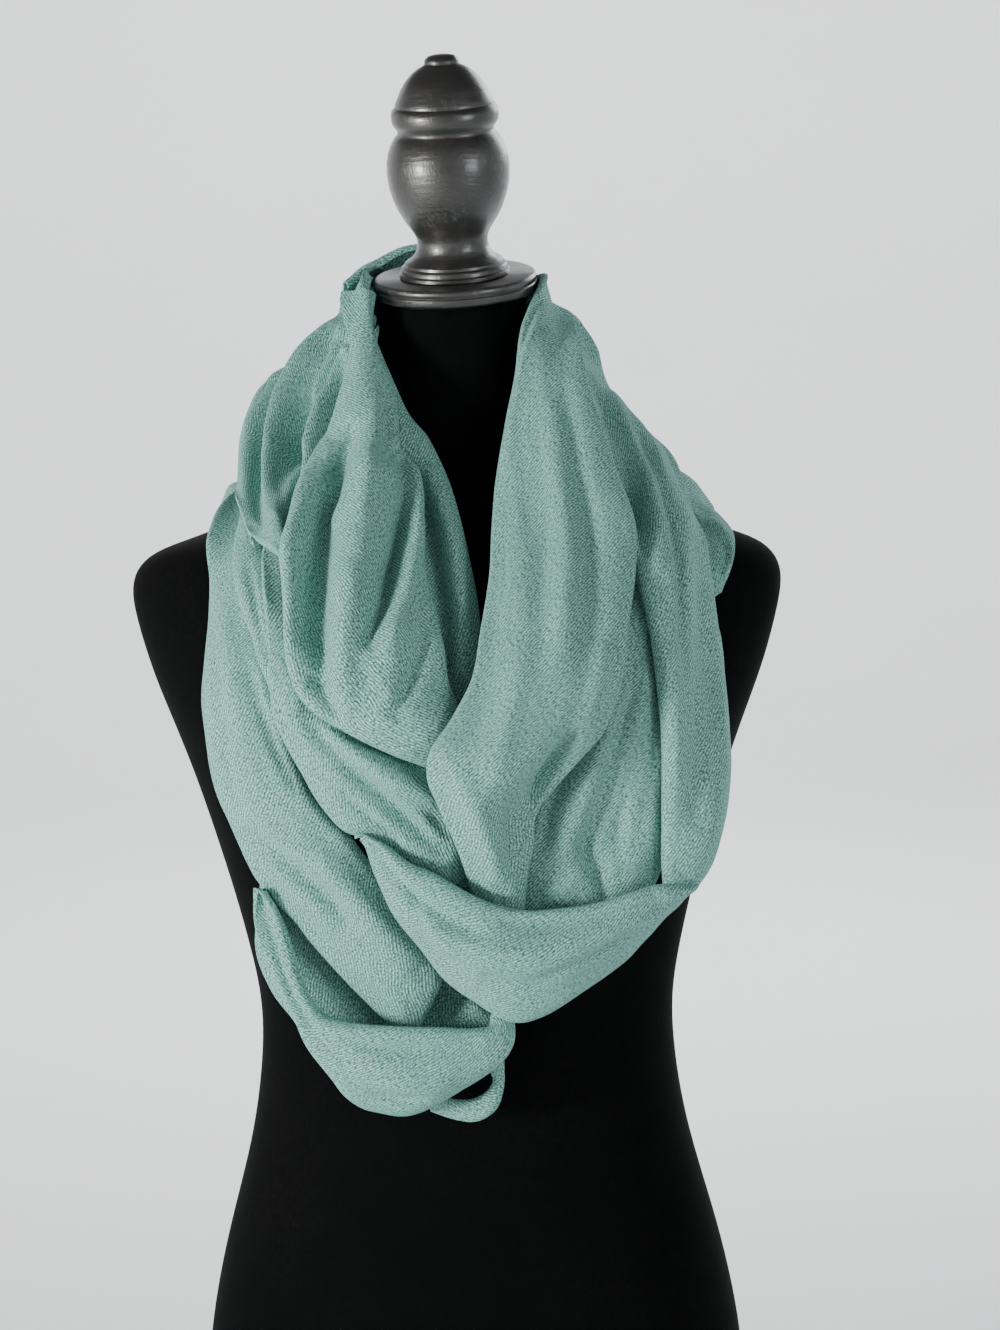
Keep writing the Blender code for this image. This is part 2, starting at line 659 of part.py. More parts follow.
def lifts_over(tree, lines, outs, clearance):
    """How far each point has to move out to lie clear of what is under it, as one smooth sheet."""
    needed = []
    for line, ways in zip(lines, outs):
        row = []
        for point, out in zip(line, ways):
            hit = tree.ray_cast(point + out * DRAPE_REACH, -out, DRAPE_REACH + clearance)
            row.append(max(0.0, DRAPE_REACH + clearance - hit[3]) if hit[0] else 0.0)
        needed.append(with_whole_rolls(row))
    lifts = [list(row) for row in needed]
    rows, columns = len(lifts), len(lifts[0])
    for _ in range(DRAPE_PASSES):
        smoothed = []
        for r in range(rows):
            row = []
            for c in range(columns):
                around = [
                    lifts[max(r - 1, 0)][c],
                    lifts[min(r + 1, rows - 1)][c],
                    lifts[r][max(c - 1, 0)],
                    lifts[r][min(c + 1, columns - 1)],
                ]
                row.append(max(needed[r][c], sum(around) / 4))
            smoothed.append(with_whole_rolls(row))
        lifts = smoothed
    return lifts


def point_normals(lines):
    """The direction out of the cloth at each point, from its neighbours."""
    normals = []
    for r, line in enumerate(lines):
        row = []
        for c in range(len(line)):
            along = lines[min(r + 1, len(lines) - 1)][c] - lines[max(r - 1, 0)][c]
            across = line[min(c + 1, len(line) - 1)] - line[max(c - 1, 0)]
            row.append(across.cross(along).normalized())
        normals.append(row)
    return normals


def halved(faces):
    """Each four-sided face as two triangles."""
    return [half for a, b, c, d in faces for half in ((a, b, c), (a, c, d))]


def shell(lines, outs):
    """Points and faces of the wall: the outer sheet, the inner one, and the edges that join them."""
    normals = point_normals(lines)
    middle = len(lines[0]) // 2
    flipped = sum(n[middle].dot(ways[middle]) for n, ways in zip(normals, outs)) < 0
    sign = -1 if flipped else 1
    outer = [point for line in lines for point in line]
    inner = [p - n * (WALL * sign) for line, row in zip(lines, normals) for p, n in zip(line, row)]
    across, along = len(lines[0]), len(lines)
    size = len(outer)
    sheet = halved(grid_faces(across, along, False))
    faces = sheet + [tuple(i + size for i in reversed(face)) for face in sheet]
    border = [(i + 1, i) for i in range(across - 1)]
    border += [(size - across + i, size - across + i + 1) for i in range(across - 1)]
    border += [(i * across, (i + 1) * across) for i in range(along - 1)]
    border += [((i + 2) * across - 1, (i + 1) * across - 1) for i in range(along - 1)]
    faces += halved((a, b, b + size, a + size) for a, b in border)
    if flipped:
        faces = [tuple(reversed(face)) for face in faces]
    return outer + inner, faces


def moved_out(lines, outs, lifts):
    return [
        [point + out * lift for point, out, lift in zip(line, ways, row)]
        for line, ways, row in zip(lines, outs, lifts)
    ]


def laid(lines, outs, tree):
    """The wall at the lowest place where it stays clear of what it lies on."""
    for attempt in range(SEAT_TRIES):
        clearance = WALL + SEAT_GAP + attempt * SEAT_STEP
        lifts = lifts_over(tree, lines, outs, clearance)
        points, faces = shell(moved_out(lines, outs, lifts), outs)
        if not BVHTree.FromPolygons(points, faces).overlap(tree):
            break
    return points, faces


def world_mesh(obj):
    bpy.context.view_layer.update()
    obj.data.calc_loop_triangles()
    points = [obj.matrix_world @ vertex.co / MM for vertex in obj.data.vertices]
    return points, [tuple(triangle.vertices) for triangle in obj.data.loop_triangles]


def scarf(carriers):
    """Lays each stretch of the scarf over the form and over the stretches before it."""
    points, faces = [], []

    def add(more_points, more_faces):
        faces.extend(tuple(i + len(points) for i in face) for face in more_faces)
        points.extend(more_points)

    for carrier in carriers:
        add(*world_mesh(carrier))
    for stretch in SCARF:
        lines, outs = cloth_grid(stretch)
        tree = BVHTree.FromPolygons(points, faces)
        wall_points, wall_faces = laid(lines, outs, tree)
        make_object(stretch.name, wall_points, wall_faces, CLOTH)
        add(wall_points, wall_faces)


def main():
    clear_scene()
    dress_form()
    wood_pieces()
    scarf(list(bpy.context.scene.objects))


main()
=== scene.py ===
"""Dresses an infinity scarf and its dress form: woven cloth, black velvet and painted wood.

Sizes are millimetres until the meshes are made. The front faces -Y, +Z is up, and the origin is on
the floor under the middle of the form.
"""

import json
import logging
import math
from collections.abc import Iterable
from dataclasses import dataclass
from enum import Enum
from typing import NamedTuple

import bpy
import numpy as np
from mathutils import Matrix, Vector
from mathutils.bvhtree import BVHTree

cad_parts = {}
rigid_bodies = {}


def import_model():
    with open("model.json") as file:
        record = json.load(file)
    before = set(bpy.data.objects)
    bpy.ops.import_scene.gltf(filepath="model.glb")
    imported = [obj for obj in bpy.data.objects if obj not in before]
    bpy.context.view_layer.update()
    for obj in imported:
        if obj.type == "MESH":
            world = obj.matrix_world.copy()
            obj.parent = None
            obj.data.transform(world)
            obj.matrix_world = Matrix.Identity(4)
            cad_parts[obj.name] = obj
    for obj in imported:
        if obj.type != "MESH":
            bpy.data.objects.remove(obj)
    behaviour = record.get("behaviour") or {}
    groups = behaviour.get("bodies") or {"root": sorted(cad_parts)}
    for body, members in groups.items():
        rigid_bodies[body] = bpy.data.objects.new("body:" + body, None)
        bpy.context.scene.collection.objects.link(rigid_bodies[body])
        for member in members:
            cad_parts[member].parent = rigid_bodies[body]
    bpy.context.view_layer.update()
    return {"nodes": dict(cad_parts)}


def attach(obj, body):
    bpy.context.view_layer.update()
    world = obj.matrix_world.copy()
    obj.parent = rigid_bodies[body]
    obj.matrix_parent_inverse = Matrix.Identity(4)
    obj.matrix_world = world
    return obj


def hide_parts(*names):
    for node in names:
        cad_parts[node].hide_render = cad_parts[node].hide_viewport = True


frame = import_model()

MM = 0.001
RIM_INSETS = (3, 30)
CLOTH_MAP = "cloth"
TUCK_STEP = 0.9
SHARP_ROUNDING = 0.02

Colour = tuple[float, float, float, float]
Place = tuple[float, float, float]

log = logging.getLogger("dress_form")


class Row(NamedTuple):
    """One cross section of a stretch: edge a, edge b, and how far the cloth crowns between them."""

    ax: float
    ay: float
    az: float
    bx: float
    by: float
    bz: float
    crown: float


class Fold(NamedTuple):
    """A soft ridge or trough along a stretch, placed by shares of its length and of its width."""

    from_along: float
    from_across: float
    to_along: float
    to_across: float
    lift: float
    half_width: float


class CreaseKind(Enum):
    """How the cloth turns at a crease."""

    ROUND = "a soft ridge or trough"
    SHARP = "a pressed line with sides that ease away"
    TUCK = "a step, with the cloth on the line's left lying over the rest"


class Crease(NamedTuple):
    """A fold that follows a line of (x, z) points, as seen from the front."""

    line: tuple[tuple[float, float], ...]
    lift: float
    half_width: float
    kind: CreaseKind = CreaseKind.ROUND


INNER_FALL_LEFT = (
    Row(-47, -20, 826, -44, -30, 816, 1),
    Row(-44, -60, 776, -27, -52, 771, 3),
    Row(-37, -72, 749, -12, -62, 752, 4),
    Row(-29, -85, 722, 0, -78, 725, 4),
    Row(-26, -104, 690, 9, -102, 689, 5),
    Row(-22, -122, 659, 14, -122, 656, 5),
    Row(-19, -134, 628, 12, -134, 628, 4),
    Row(-15, -138, 597, 7, -138, 593, 3),
)
BACK_DRAPE = (
    Row(-112, 28, 728, -139, 26, 707, 5),
    Row(-102, 58, 743, -143, 63, 691, 7),
    Row(-60, 80, 752, -84, 97, 655, 10),
    Row(0, 90, 752, 0, 110, 632, 11),
    Row(60, 80, 752, 84, 97, 655, 10),
    Row(102, 58, 742, 143, 62, 693, 7),
    Row(112, 26, 728, 149, 24, 705, 5),
)
NAPE_WRAP = (
    Row(-47, 14, 836, -96, 20, 742, 2),
    Row(-46, 28, 840, -95, 46, 739, 4),
    Row(-41, 44, 844, -92, 83, 739, 7),
    Row(-22, 58, 851, -54, 110, 735, 10),
    Row(0, 63, 852, 0, 116, 730, 11),
    Row(22, 58, 850, 55, 111, 735, 10),
    Row(42, 44, 843, 92, 82, 740, 7),
    Row(46, 24, 837, 92, 46, 744, 2),
)
POUCH_BACK = (
    Row(-108, -107, 530, -83, -107, 540, 2),
    Row(-111, -111, 507, -77, -107, 523, -2),
    Row(-113, -115, 480, -55, -105, 504, -6),
    Row(-105, -119, 458, -32, -105, 482, -8),
    Row(-93, -121, 441, -12, -106, 468, -8),
    Row(-81, -119, 421, 2, -108, 456, -6),
    Row(-65, -115, 404, 12, -111, 443, -3),
    Row(-45, -111, 392, 20, -115, 436, 0),
)
LEFT_OUTER_BAND = (
    Row(-122, 16, 708, -94, 7, 724, 2),
    Row(-126, -16, 705, -98, -36, 716, 2),
    Row(-126, -59, 682, -106, -88, 685, 4),
    Row(-134, -77, 651, -104, -113, 652, 5),
    Row(-137, -93, 623, -96, -128, 629, 6),
    Row(-136, -104, 599, -89, -134, 600, 7),
    Row(-133, -113, 574, -76, -137, 571, 8),
    Row(-125, -117, 551, -61, -138, 550, 9),
    Row(-116, -120, 531, -49, -138, 533, 9),
    Row(-105, -122, 513, -36, -137, 516, 9),
    Row(-90, -121, 495, -25, -136, 499, 8),
    Row(-75, -121, 476, -16, -134, 482, 7),
    Row(-61, -120, 459, -11, -131, 466, 6),
    Row(-47, -119, 444, -15, -127, 453, 4),
    Row(-36, -118, 432, -25, -122, 435, 2),
)
LEFT_SIDE_TUCK = (
    Row(-118, -54, 714, -101, -68, 710, 1),
    Row(-118, -70, 702, -101, -86, 699, 2),
    Row(-117, -88, 687, -99, -102, 683, 3),
    Row(-112, -107, 666, -96, -118, 663, 3),
    Row(-106, -115, 652, -94, -127, 648, 3),
    Row(-100, -128, 633, -91, -135, 629, 2),
    Row(-95, -138, 612, -85, -140, 610, 1),
)
RIGHT_SHOULDER_FLAP = (
    Row(119, 34, 736, 144, 43, 705, 4),
    Row(129, 4, 722, 147, 17, 700, 3),
    Row(131, -25, 708, 153, -4, 703, 3),
    Row(131, -56, 694, 158, -31, 695, 3),
    Row(132, -70, 677, 155, -56, 681, 2),
    Row(136, -73, 659, 148, -66, 665, 1),
)
LEFT_MIDDLE_BAND = (
    Row(-102, -79, 712.6, -88, -88, 708.6, 2),
    Row(-101, -99, 691, -86, -105, 689, 2),
    Row(-98, -119, 665, -82, -123, 663, 2),
    Row(-96, -132, 646, -80, -135, 646, 3),
    Row(-96, -141, 629, -74, -144, 633, 4),
    Row(-92, -145, 605, -58, -151, 618, 6),
    Row(-84, -146, 584, -41, -153, 605, 9),
    Row(-74, -146, 565, -27, -154, 597, 11),
    Row(-61, -145, 550, -15, -154, 586, 12),
    Row(-43, -145, 544, -6, -152, 569, 11),
    Row(-29, -144, 530, 0, -149, 550, 8),
    Row(-11, -142, 520, 6, -145, 532, 5),
    Row(8, -139, 508, 12, -140, 515, 2),
)
INNER_FALL_RIGHT = (
    Row(85, -92, 698, 111, -84, 678, 3),
    Row(80, -112, 667, 114, -98, 656, 4),
    Row(74, -126, 636, 116, -110, 631, 6),
    Row(65, -135, 608, 119, -118, 603, 7),
    Row(53, -140, 585, 118, -122, 577, 8),
    Row(42, -142, 561, 116, -125, 553, 8),
    Row(34, -142, 537, 112, -126, 531, 7),
    Row(29, -141, 515, 105, -127, 514, 6),
    Row(26, -138, 495, 97, -126, 497, 4),
)
RIGHT_OUTER_FALL = (
    Row(55, -28, 811, 60, 32, 813, 1),
    Row(62, -42, 795, 71, 38, 793, 3),
    Row(73, -58, 768, 102, 34, 757, 6),
    Row(82, -74, 738, 126, 10, 736, 9),
    Row(90, -91, 708, 133, -43, 710, 9),
    Row(97, -111, 685, 138, -71, 683, 8),
    Row(103, -125, 659, 142, -85, 653, 8),
    Row(108, -134, 631, 143, -86, 619, 8),
    Row(109, -139, 602, 146, -98, 590, 8),
    Row(109, -144, 573, 146, -106, 562, 8),
    Row(109, -145, 549, 142, -112, 541, 7),
    Row(109, -143, 529, 135, -118, 526, 6),
    Row(110, -140, 513, 126, -124, 514, 4),
)
LEFT_COWL = (
    Row(-44, -32, 838, -50, -20, 835, 2),
    Row(-43, -45, 817, -53, -41, 813, 3),
    Row(-38, -56, 801, -57, -52, 794, 5),
    Row(-31, -67, 785, -63, -63, 778, 7),
    Row(-29, -77, 769, -69, -75, 759, 9),
    Row(-26, -87, 751, -76, -88, 741, 10),
    Row(-16, -99, 733, -83, -104, 721, 11),
    Row(-16, -114, 708, -86, -119, 695, 12),
    Row(-14, -130, 683, -87, -137, 669, 12),
    Row(-9, -142, 665, -85, -150, 642, 11),
    Row(-5, -150, 648, -77, -160, 621, 11),
    Row(-3, -154, 630, -58, -164, 606, 10),
    Row(3, -155, 617, -35, -166, 594, 8),
    Row(13, -153, 606, -14, -162, 585, 5),
    Row(26, -150, 601, 9, -157, 574, 3),
)
RIGHT_FRONT_FALL = (
    Row(-60, 42, 843, -76, 80, 800, 1),
    Row(-44, 53, 854, -62, 92, 798, 2),
    Row(-25, 62, 867, -46, 102, 796, 3),
    Row(0, 68, 867, 0, 110, 790, 5),
    Row(26, 62, 854, 40, 98, 788, 4),
    Row(45, 36, 847, 65, 66, 804, 3),
    Row(49, 0, 842, 59, 16, 824, 2),
    Row(46, -24, 829, 61, -8, 814, 3),
    Row(40, -41, 814, 64, -29, 800, 4),
    Row(35, -57, 788, 73, -51, 784, 6),
    Row(29, -72, 761, 84, -71, 759, 6),
    Row(24, -88, 734, 91, -88, 734, 7),
    Row(21, -106, 708, 98, -104, 709, 8),
    Row(19, -128, 683, 98, -120, 684, 9),
    Row(14, -149, 656, 93, -139, 657, 9),
    Row(9, -165, 632, 88, -150, 628, 9),
    Row(-3, -175, 611, 79, -156, 603, 9),
    Row(-13, -181, 597, 64, -160, 586, 9),
    Row(-15, -178, 582, 52, -160, 572, 8),
    Row(-10, -172, 567, 42, -158, 558, 7),
    Row(-2, -166, 546, 40, -155, 542, 5),
    Row(4, -158, 526, 36, -152, 522, 4),
    Row(8, -150, 504, 33, -148, 501, 3),
    Row(13, -143, 486, 29, -141, 485, 2),
)
LEFT_SHOULDER_PLEATS = (
    Row(-43, 14, 845, -36, 54, 850, 4),
    Row(-44, -14, 839, -48, 56, 844, 3),
    Row(-45, -20, 828, -62, 56, 827, 3),
    Row(-47, -31, 813, -84, 52, 813, 4),
    Row(-52, -44, 797, -99, 45, 797, 6),
    Row(-58, -53, 780, -111, 37, 782, 7),
    Row(-63, -65, 762, -120, 25, 765, 8),
    Row(-69, -77, 744, -124, 8, 750, 8),
    Row(-76, -91, 726, -122, -18, 736, 7),
    Row(-81, -104, 711, -119, -48, 722, 6),
    Row(-84, -114, 700, -114, -75, 711, 4),
    Row(-87, -122, 692, -109, -94, 702, 3),
)
POUCH_TWIST = (
    Row(10, -122.2, 432, 20, -115.2, 429, 1),
    Row(12, -120.5, 414, 21, -114.5, 414, 1),
    Row(16, -121, 406, 20, -115, 401, 1),
    Row(11, -118, 398, 17, -114, 388, 1),
    Row(2, -115, 393, 6, -112, 380, 1),
    Row(-9, -113, 393, -7, -110, 381, 1),
    Row(-19, -111, 396, -20, -108, 385, 1),
)
BOTTOM_POUCH = (
    Row(-102, -118, 514, -112, -116, 515, 0),
    Row(-98, -121, 501, -111, -119, 499, 1),
    Row(-92, -128, 486, -108, -125, 481, 2),
    Row(-87, -134, 468, -101, -128, 464, 3),
    Row(-82, -138, 455, -91, -130, 449, 3),
    Row(-75, -143, 447, -81, -130, 431, 4),
    Row(-62, -147, 445, -72, -128, 416, 6),
    Row(-47, -149, 444, -62, -125, 399, 9),
    Row(-30, -150, 443, -47, -123, 390, 11),
    Row(-10, -150, 442, -28, -122, 389, 11),
    Row(7, -148, 440, 1, -124, 407, 8),
    Row(18, -144, 441, 16, -127, 421, 5),
    Row(20, -138, 450, 22, -127, 434, 2),
    Row(19, -133, 462, 30, -128, 449, 1),
)
FRONT_SWAG = (
    Row(-52, -152, 551, -49, -152, 546, 0),
    Row(-45, -154, 547, -47, -154, 537, 2),
    Row(-37, -158, 543, -42, -156, 523, 4),
    Row(-27, -165, 536, -32, -154, 503, 6),
    Row(-13, -168, 530, -19, -148, 485, 8),
    Row(2, -170, 521, -8, -144, 469, 11),
    Row(17, -172, 514, 6, -144, 458, 12),
    Row(35, -172, 510, 26, -143, 445, 12),
    Row(53, -170, 510, 43, -142, 448, 11),
    Row(75, -167, 512, 62, -141, 461, 9),
    Row(95, -162, 517, 84, -140, 476, 7),
    Row(110, -155, 519, 100, -138, 496, 5),
    Row(124, -138, 516, 123, -134, 510, 2),
)

INNER_FALL_LEFT_FOLDS = (
    Fold(0.26, 0.42, 0.89, 0.42, -4, 7),
    Fold(0.36, 0.65, 0.8, 0.75, 3, 6),
)
BACK_DRAPE_FOLDS = (
    Fold(0.06, 0.3, 0.94, 0.32, -6, 11),
    Fold(0.05, 0.52, 0.82, 0.56, 5, 11),
    Fold(0.2, 0.76, 0.95, 0.7, -6, 10),
)
NAPE_WRAP_FOLDS = (
    Fold(0.05, 0.35, 0.76, 0.45, -6, 10),
    Fold(0.14, 0.62, 0.96, 0.58, 5, 11),
    Fold(0.28, 0.8, 0.94, 0.8, -5, 9),
)
LEFT_OUTER_FOLDS = (
    Fold(0.47, 0.1, 0.92, 0.2, -5, 10),
    Fold(0.52, 0.7, 0.84, 0.78, 5, 9),
    Fold(0.3, 0.62, 0.52, 0.58, -3, 10),
    Fold(0.16, 0.33, 0.46, 0.3, 3, 10),
)
LEFT_MIDDLE_FOLDS = (
    Fold(0.4, 0.38, 0.86, 0.57, -5, 11),
    Fold(0.47, 0.62, 0.78, 0.9, 4, 12),
)
INNER_FALL_RIGHT_FOLDS = (
    Fold(0.08, 0.5, 0.8, 0.22, 5, 9),
    Fold(0.18, 0.72, 0.88, 0.52, -5, 9),
    Fold(0.38, 0.8, 0.9, 0.8, 4, 9),
)
RIGHT_OUTER_FOLDS = (
    Fold(0.08, 0.22, 0.42, 0.22, -6, 9),
    Fold(0.14, 0.44, 0.52, 0.4, 5, 10),
    Fold(0.38, 0.68, 0.82, 0.5, -4, 9),
    Fold(0.1, 0.78, 0.36, 0.84, -5, 10),
)
LEFT_COWL_FOLDS = (
    Fold(0.29, 0.62, 0.72, 0.87, -7, 12),
    Fold(0.3, 0.3, 0.7, 0.54, 4, 13),
    Fold(0.36, 0.1, 0.66, 0.36, -5, 11),
    Fold(0.64, 0.15, 0.84, 0.8, 3, 12),
)
RIGHT_FRONT_FOLDS = (
    Fold(0.42, 0.24, 0.66, 0.42, -4, 9),
    Fold(0.4, 0.6, 0.66, 0.74, -4, 8),
    Fold(0.72, 0.74, 0.86, 0.84, -6, 9),
    Fold(0.58, 0.12, 0.74, 0.2, -3, 9),
    Fold(0.76, 0.3, 0.93, 0.5, 4, 11),
    Fold(0.06, 0.4, 0.34, 0.6, -5, 9),
)
LEFT_SHOULDER_FOLDS = (
    Fold(0.12, 0.24, 0.97, 0.1, 7, 11),
    Fold(0.18, 0.38, 0.86, 0.28, -6, 11),
    Fold(0.24, 0.5, 0.8, 0.46, 3, 12),
    Fold(0.12, 0.68, 0.92, 0.62, -6, 12),
    Fold(0.2, 0.84, 0.96, 0.8, 5, 12),
)
BOTTOM_POUCH_FOLDS = (
    Fold(0.18, 0.55, 0.6, 0.88, 4, 9),
    Fold(0.22, 0.25, 0.74, 0.6, -4, 9),
)
FRONT_SWAG_FOLDS = (
    Fold(0.1, 0.42, 0.5, 0.62, -5, 9),
    Fold(0.3, 0.3, 0.84, 0.42, 4, 11),
    Fold(0.48, 0.6, 0.88, 0.64, -4, 10),
)

# The main creases, where they lie on the front of each stretch.
CREASES_INNER_FALL_LEFT = (
    Crease(((-26, 749), (-16, 722), (-8, 690), (-5, 659), (-5, 624)), -6.8, 3.9),
    Crease(((-15, 738), (-1, 700), (5, 669), (6, 639)), 3.2, 4),
)
CREASES_LEFT_OUTER_BAND = (
    Crease(((-99, 639), (-93, 618), (-87, 593), (-75, 568), (-61, 550)), -6, 3.9),
    Crease(((-115, 549), (-101, 538), (-85, 524), (-69, 510), (-58, 493)), -8.5, 5.9),
    Crease(((-75, 540), (-61, 524), (-45, 506), (-32, 489), (-23, 474)), 5.2, 7.2),
    Crease(((-127, 680), (-123, 650), (-118, 614), (-108, 580), (-97, 558)), 2.9, 6.4),
    Crease(((-111, 637), (-105, 617), (-96, 593), (-84, 569)), -4.2, 3.9),
    Crease(((-129, 618), (-125, 587), (-115, 558)), -3.1, 4.5),
    Crease(((-87, 495), (-69, 479), (-50, 463)), 2.1, 5.6),
)
CREASES_LEFT_SIDE_TUCK = (
    Crease(((-112, 692), (-108, 676), (-105, 659), (-101, 643)), -2.5, 2.6),
)
CREASES_RIGHT_SHOULDER_FLAP = (
    Crease(((140, 711), (144, 694), (143, 676)), -2.7, 3.9),
    Crease(
        ((131, 716), (134, 708), (141, 703), (148, 700), (153, 693), (154, 685), (148, 673)),
        3.6,
        3.5,
        CreaseKind.TUCK,
    ),
)
CREASES_LEFT_MIDDLE_BAND = (
    Crease(((-81, 622), (-67, 610), (-50, 602), (-31, 594), (-17, 586)), -7.4, 3.9),
    Crease(((-83, 616), (-66, 598), (-45, 577), (-25, 555), (-5, 536)), -8.5, 5.2),
    Crease(((-72, 604), (-50, 590), (-27, 577), (-9, 567)), 4.9, 7.2),
    Crease(((-62, 571), (-49, 559), (-31, 542)), -7.1, 4, CreaseKind.SHARP),
    Crease(((-30, 574), (-14, 561), (-2, 545)), -4.2, 3.9),
)
CREASES_INNER_FALL_RIGHT = (
    Crease(((79, 621), (67, 601), (57, 582), (48, 559), (43, 532)), -5.1, 3.9),
    Crease(((99, 656), (95, 621), (82, 582), (70, 545), (65, 526)), -7.6, 5.2),
    Crease(((105, 635), (100, 593), (90, 554), (83, 521)), 3.9, 5.6),
    Crease(((66, 546), (69, 536), (75, 521), (79, 508)), -6.6, 4, CreaseKind.SHARP),
    Crease(((79, 601), (70, 578), (60, 557), (51, 533)), 3.2, 5.6),
    Crease(((87, 562), (85, 541), (87, 519)), -3.8, 3.2, CreaseKind.SHARP),
)
CREASES_RIGHT_OUTER_FALL = (
    Crease(((89, 778), (97, 749), (105, 726), (109, 705), (109, 677)), 6.5, 5.6),
    Crease(((83, 765), (91, 735), (99, 708), (104, 688)), -7.6, 4, CreaseKind.SHARP),
    Crease(((106, 757), (117, 729), (122, 702), (124, 666), (124, 625)), -6, 3.9),
    Crease(((134, 678), (133, 639), (130, 593), (125, 546)), -4.2, 5.2),
    Crease(((142, 648), (143, 610), (141, 575), (135, 544)), 2.6, 4.8),
    Crease(((116, 646), (115, 605), (115, 563)), 2.9, 5.6),
    Crease(((113, 742), (126, 717), (133, 693)), 2.9, 4),
)
CREASES_LEFT_SHOULDER_PLEATS = (
    Crease(
        ((-62, 822), (-77, 813), (-84, 801), (-90, 789), (-95, 777), (-98, 763), (-101, 745),
         (-100, 728), (-95, 711), (-91, 700)),
        8.9,
        6.4,
    ),
    Crease(
        ((-79, 820), (-91, 809), (-99, 797), (-104, 782), (-107, 763), (-108, 745), (-107, 726),
         (-103, 708)),
        -6.4,
        3.2,
    ),
    Crease(((-111, 787), (-116, 765), (-116, 745), (-114, 723)), 3.2, 4.8),
    Crease(
        ((-55, 818), (-64, 810), (-69, 800), (-72, 792), (-75, 783), (-79, 777), (-83, 769),
         (-87, 757), (-88, 749), (-88, 735), (-87, 716), (-86, 702)),
        -14.2,
        4,
        CreaseKind.SHARP,
    ),
    Crease(((-61, 810), (-65, 800), (-71, 788), (-74, 776), (-80, 762), (-84, 750)), 5.7, 4),
    Crease(
        ((-58, 803), (-61, 796), (-63, 788), (-64, 780), (-67, 770), (-71, 759), (-75, 750),
         (-79, 736)),
        -10.7,
        3.2,
        CreaseKind.SHARP,
    ),
    Crease(((-49, 835), (-52, 822), (-56, 811), (-59, 799), (-61, 792)), 4.9, 3.6),
    Crease(((-53, 830), (-56, 816), (-58, 805)), -7.1, 2.8, CreaseKind.SHARP),
    Crease(((-48, 832), (-49, 821), (-50, 811), (-55, 797)), -8.3, 2.8, CreaseKind.SHARP),
    Crease(((-66, 831), (-83, 819), (-95, 808), (-106, 794)), -3.4, 3.2),
)
CREASES_LEFT_COWL = (
    Crease(
        ((-68, 757), (-74, 744), (-78, 731), (-81, 710), (-83, 695), (-83, 674), (-83, 653),
         (-80, 637)),
        8.5,
        7.2,
    ),
    Crease(
        ((-51, 766), (-59, 746), (-64, 729), (-69, 719), (-72, 708), (-75, 695), (-76, 681),
         (-77, 667), (-76, 649)),
        -11.9,
        4.5,
    ),
    Crease(((-63, 713), (-68, 693), (-70, 673), (-70, 653), (-68, 628)), -8.5, 4.5),
    Crease(((-52, 694), (-55, 669), (-57, 651), (-56, 628), (-51, 613)), 5.9, 6.4),
    Crease(((-76, 637), (-70, 630), (-65, 621), (-60, 611)), -6.6, 3.2, CreaseKind.SHARP),
    Crease(
        ((-29, 754), (-24, 738), (-23, 728), (-24, 720), (-26, 710), (-28, 701), (-33, 684),
         (-35, 674), (-38, 667), (-42, 658), (-45, 649)),
        -13.3,
        4.8,
        CreaseKind.SHARP,
    ),
    Crease(
        ((-23, 742), (-19, 722), (-19, 707), (-22, 692), (-25, 677), (-30, 660), (-34, 643)),
        6.5,
        5.6,
    ),
    Crease(((-43, 787), (-40, 766), (-44, 739), (-50, 714)), 3.9, 6.4),
    Crease(((-15, 667), (-17, 647), (-24, 628), (-32, 612)), -5.1, 3.9),
    Crease(((-36, 776), (-34, 760), (-37, 742)), -3.4, 3.2),
)
CREASES_RIGHT_FRONT_FALL = (
    Crease(
        ((54, 833), (46, 815), (40, 800), (36, 782), (33, 768), (30, 753), (27, 729)),
        3.6,
        3.5,
        CreaseKind.TUCK,
    ),
    Crease(((45, 802), (48, 763), (50, 721), (50, 680), (47, 646)), -1.9, 5.2),
    Crease(((61, 802), (67, 758), (72, 710), (73, 669), (69, 637)), -1.8, 4.5),
    Crease(((54, 780), (59, 737), (60, 695), (59, 660), (54, 626)), 1.4, 6.4),
    Crease(((62, 606), (57, 595), (52, 585), (45, 574), (40, 564)), -13.3, 4.8, CreaseKind.SHARP),
    Crease(((79, 649), (74, 624), (66, 607)), 3.2, 4.8),
    Crease(((28, 706), (24, 676), (18, 646), (10, 617)), -1.5, 4.5),
    Crease(((-2, 592), (7, 571), (16, 546), (21, 523)), 3.9, 6.4),
    Crease(((35, 651), (30, 622), (22, 596), (17, 571)), 3.1, 7.2),
    Crease(((29, 575), (27, 553), (28, 528)), -4.9, 4, CreaseKind.SHARP),
)
CREASES_BOTTOM_POUCH = (
    Crease(((-66, 437), (-39, 432), (-13, 431), (10, 435)), -4.4, 3.9),
    Crease(((-72, 424), (-43, 415), (-18, 412), (-4, 417)), 3.4, 5.6),
    Crease(((-55, 407), (-35, 402), (-19, 404)), -2.7, 3.2),
    Crease(((-104, 497), (-99, 479), (-92, 458), (-79, 439)), -3.1, 2.6),
)
CREASES_FRONT_SWAG = (
    Crease(((-40, 537), (-32, 528), (-20, 516), (-5, 506), (14, 499)), -4.7, 3.2),
    Crease(((-16, 501), (15, 491), (47, 489), (79, 499), (102, 512)), 4.9, 7.2),
    Crease(((10, 477), (38, 471), (68, 482), (94, 497)), -5.5, 4.5),
    Crease(((21, 506), (52, 502), (84, 507), (110, 514)), -4.7, 3.2),
    Crease(((-34, 522), (-18, 503), (-3, 488)), 3.9, 4.8),
)


# ---------------------------------------------------------------- shader maths


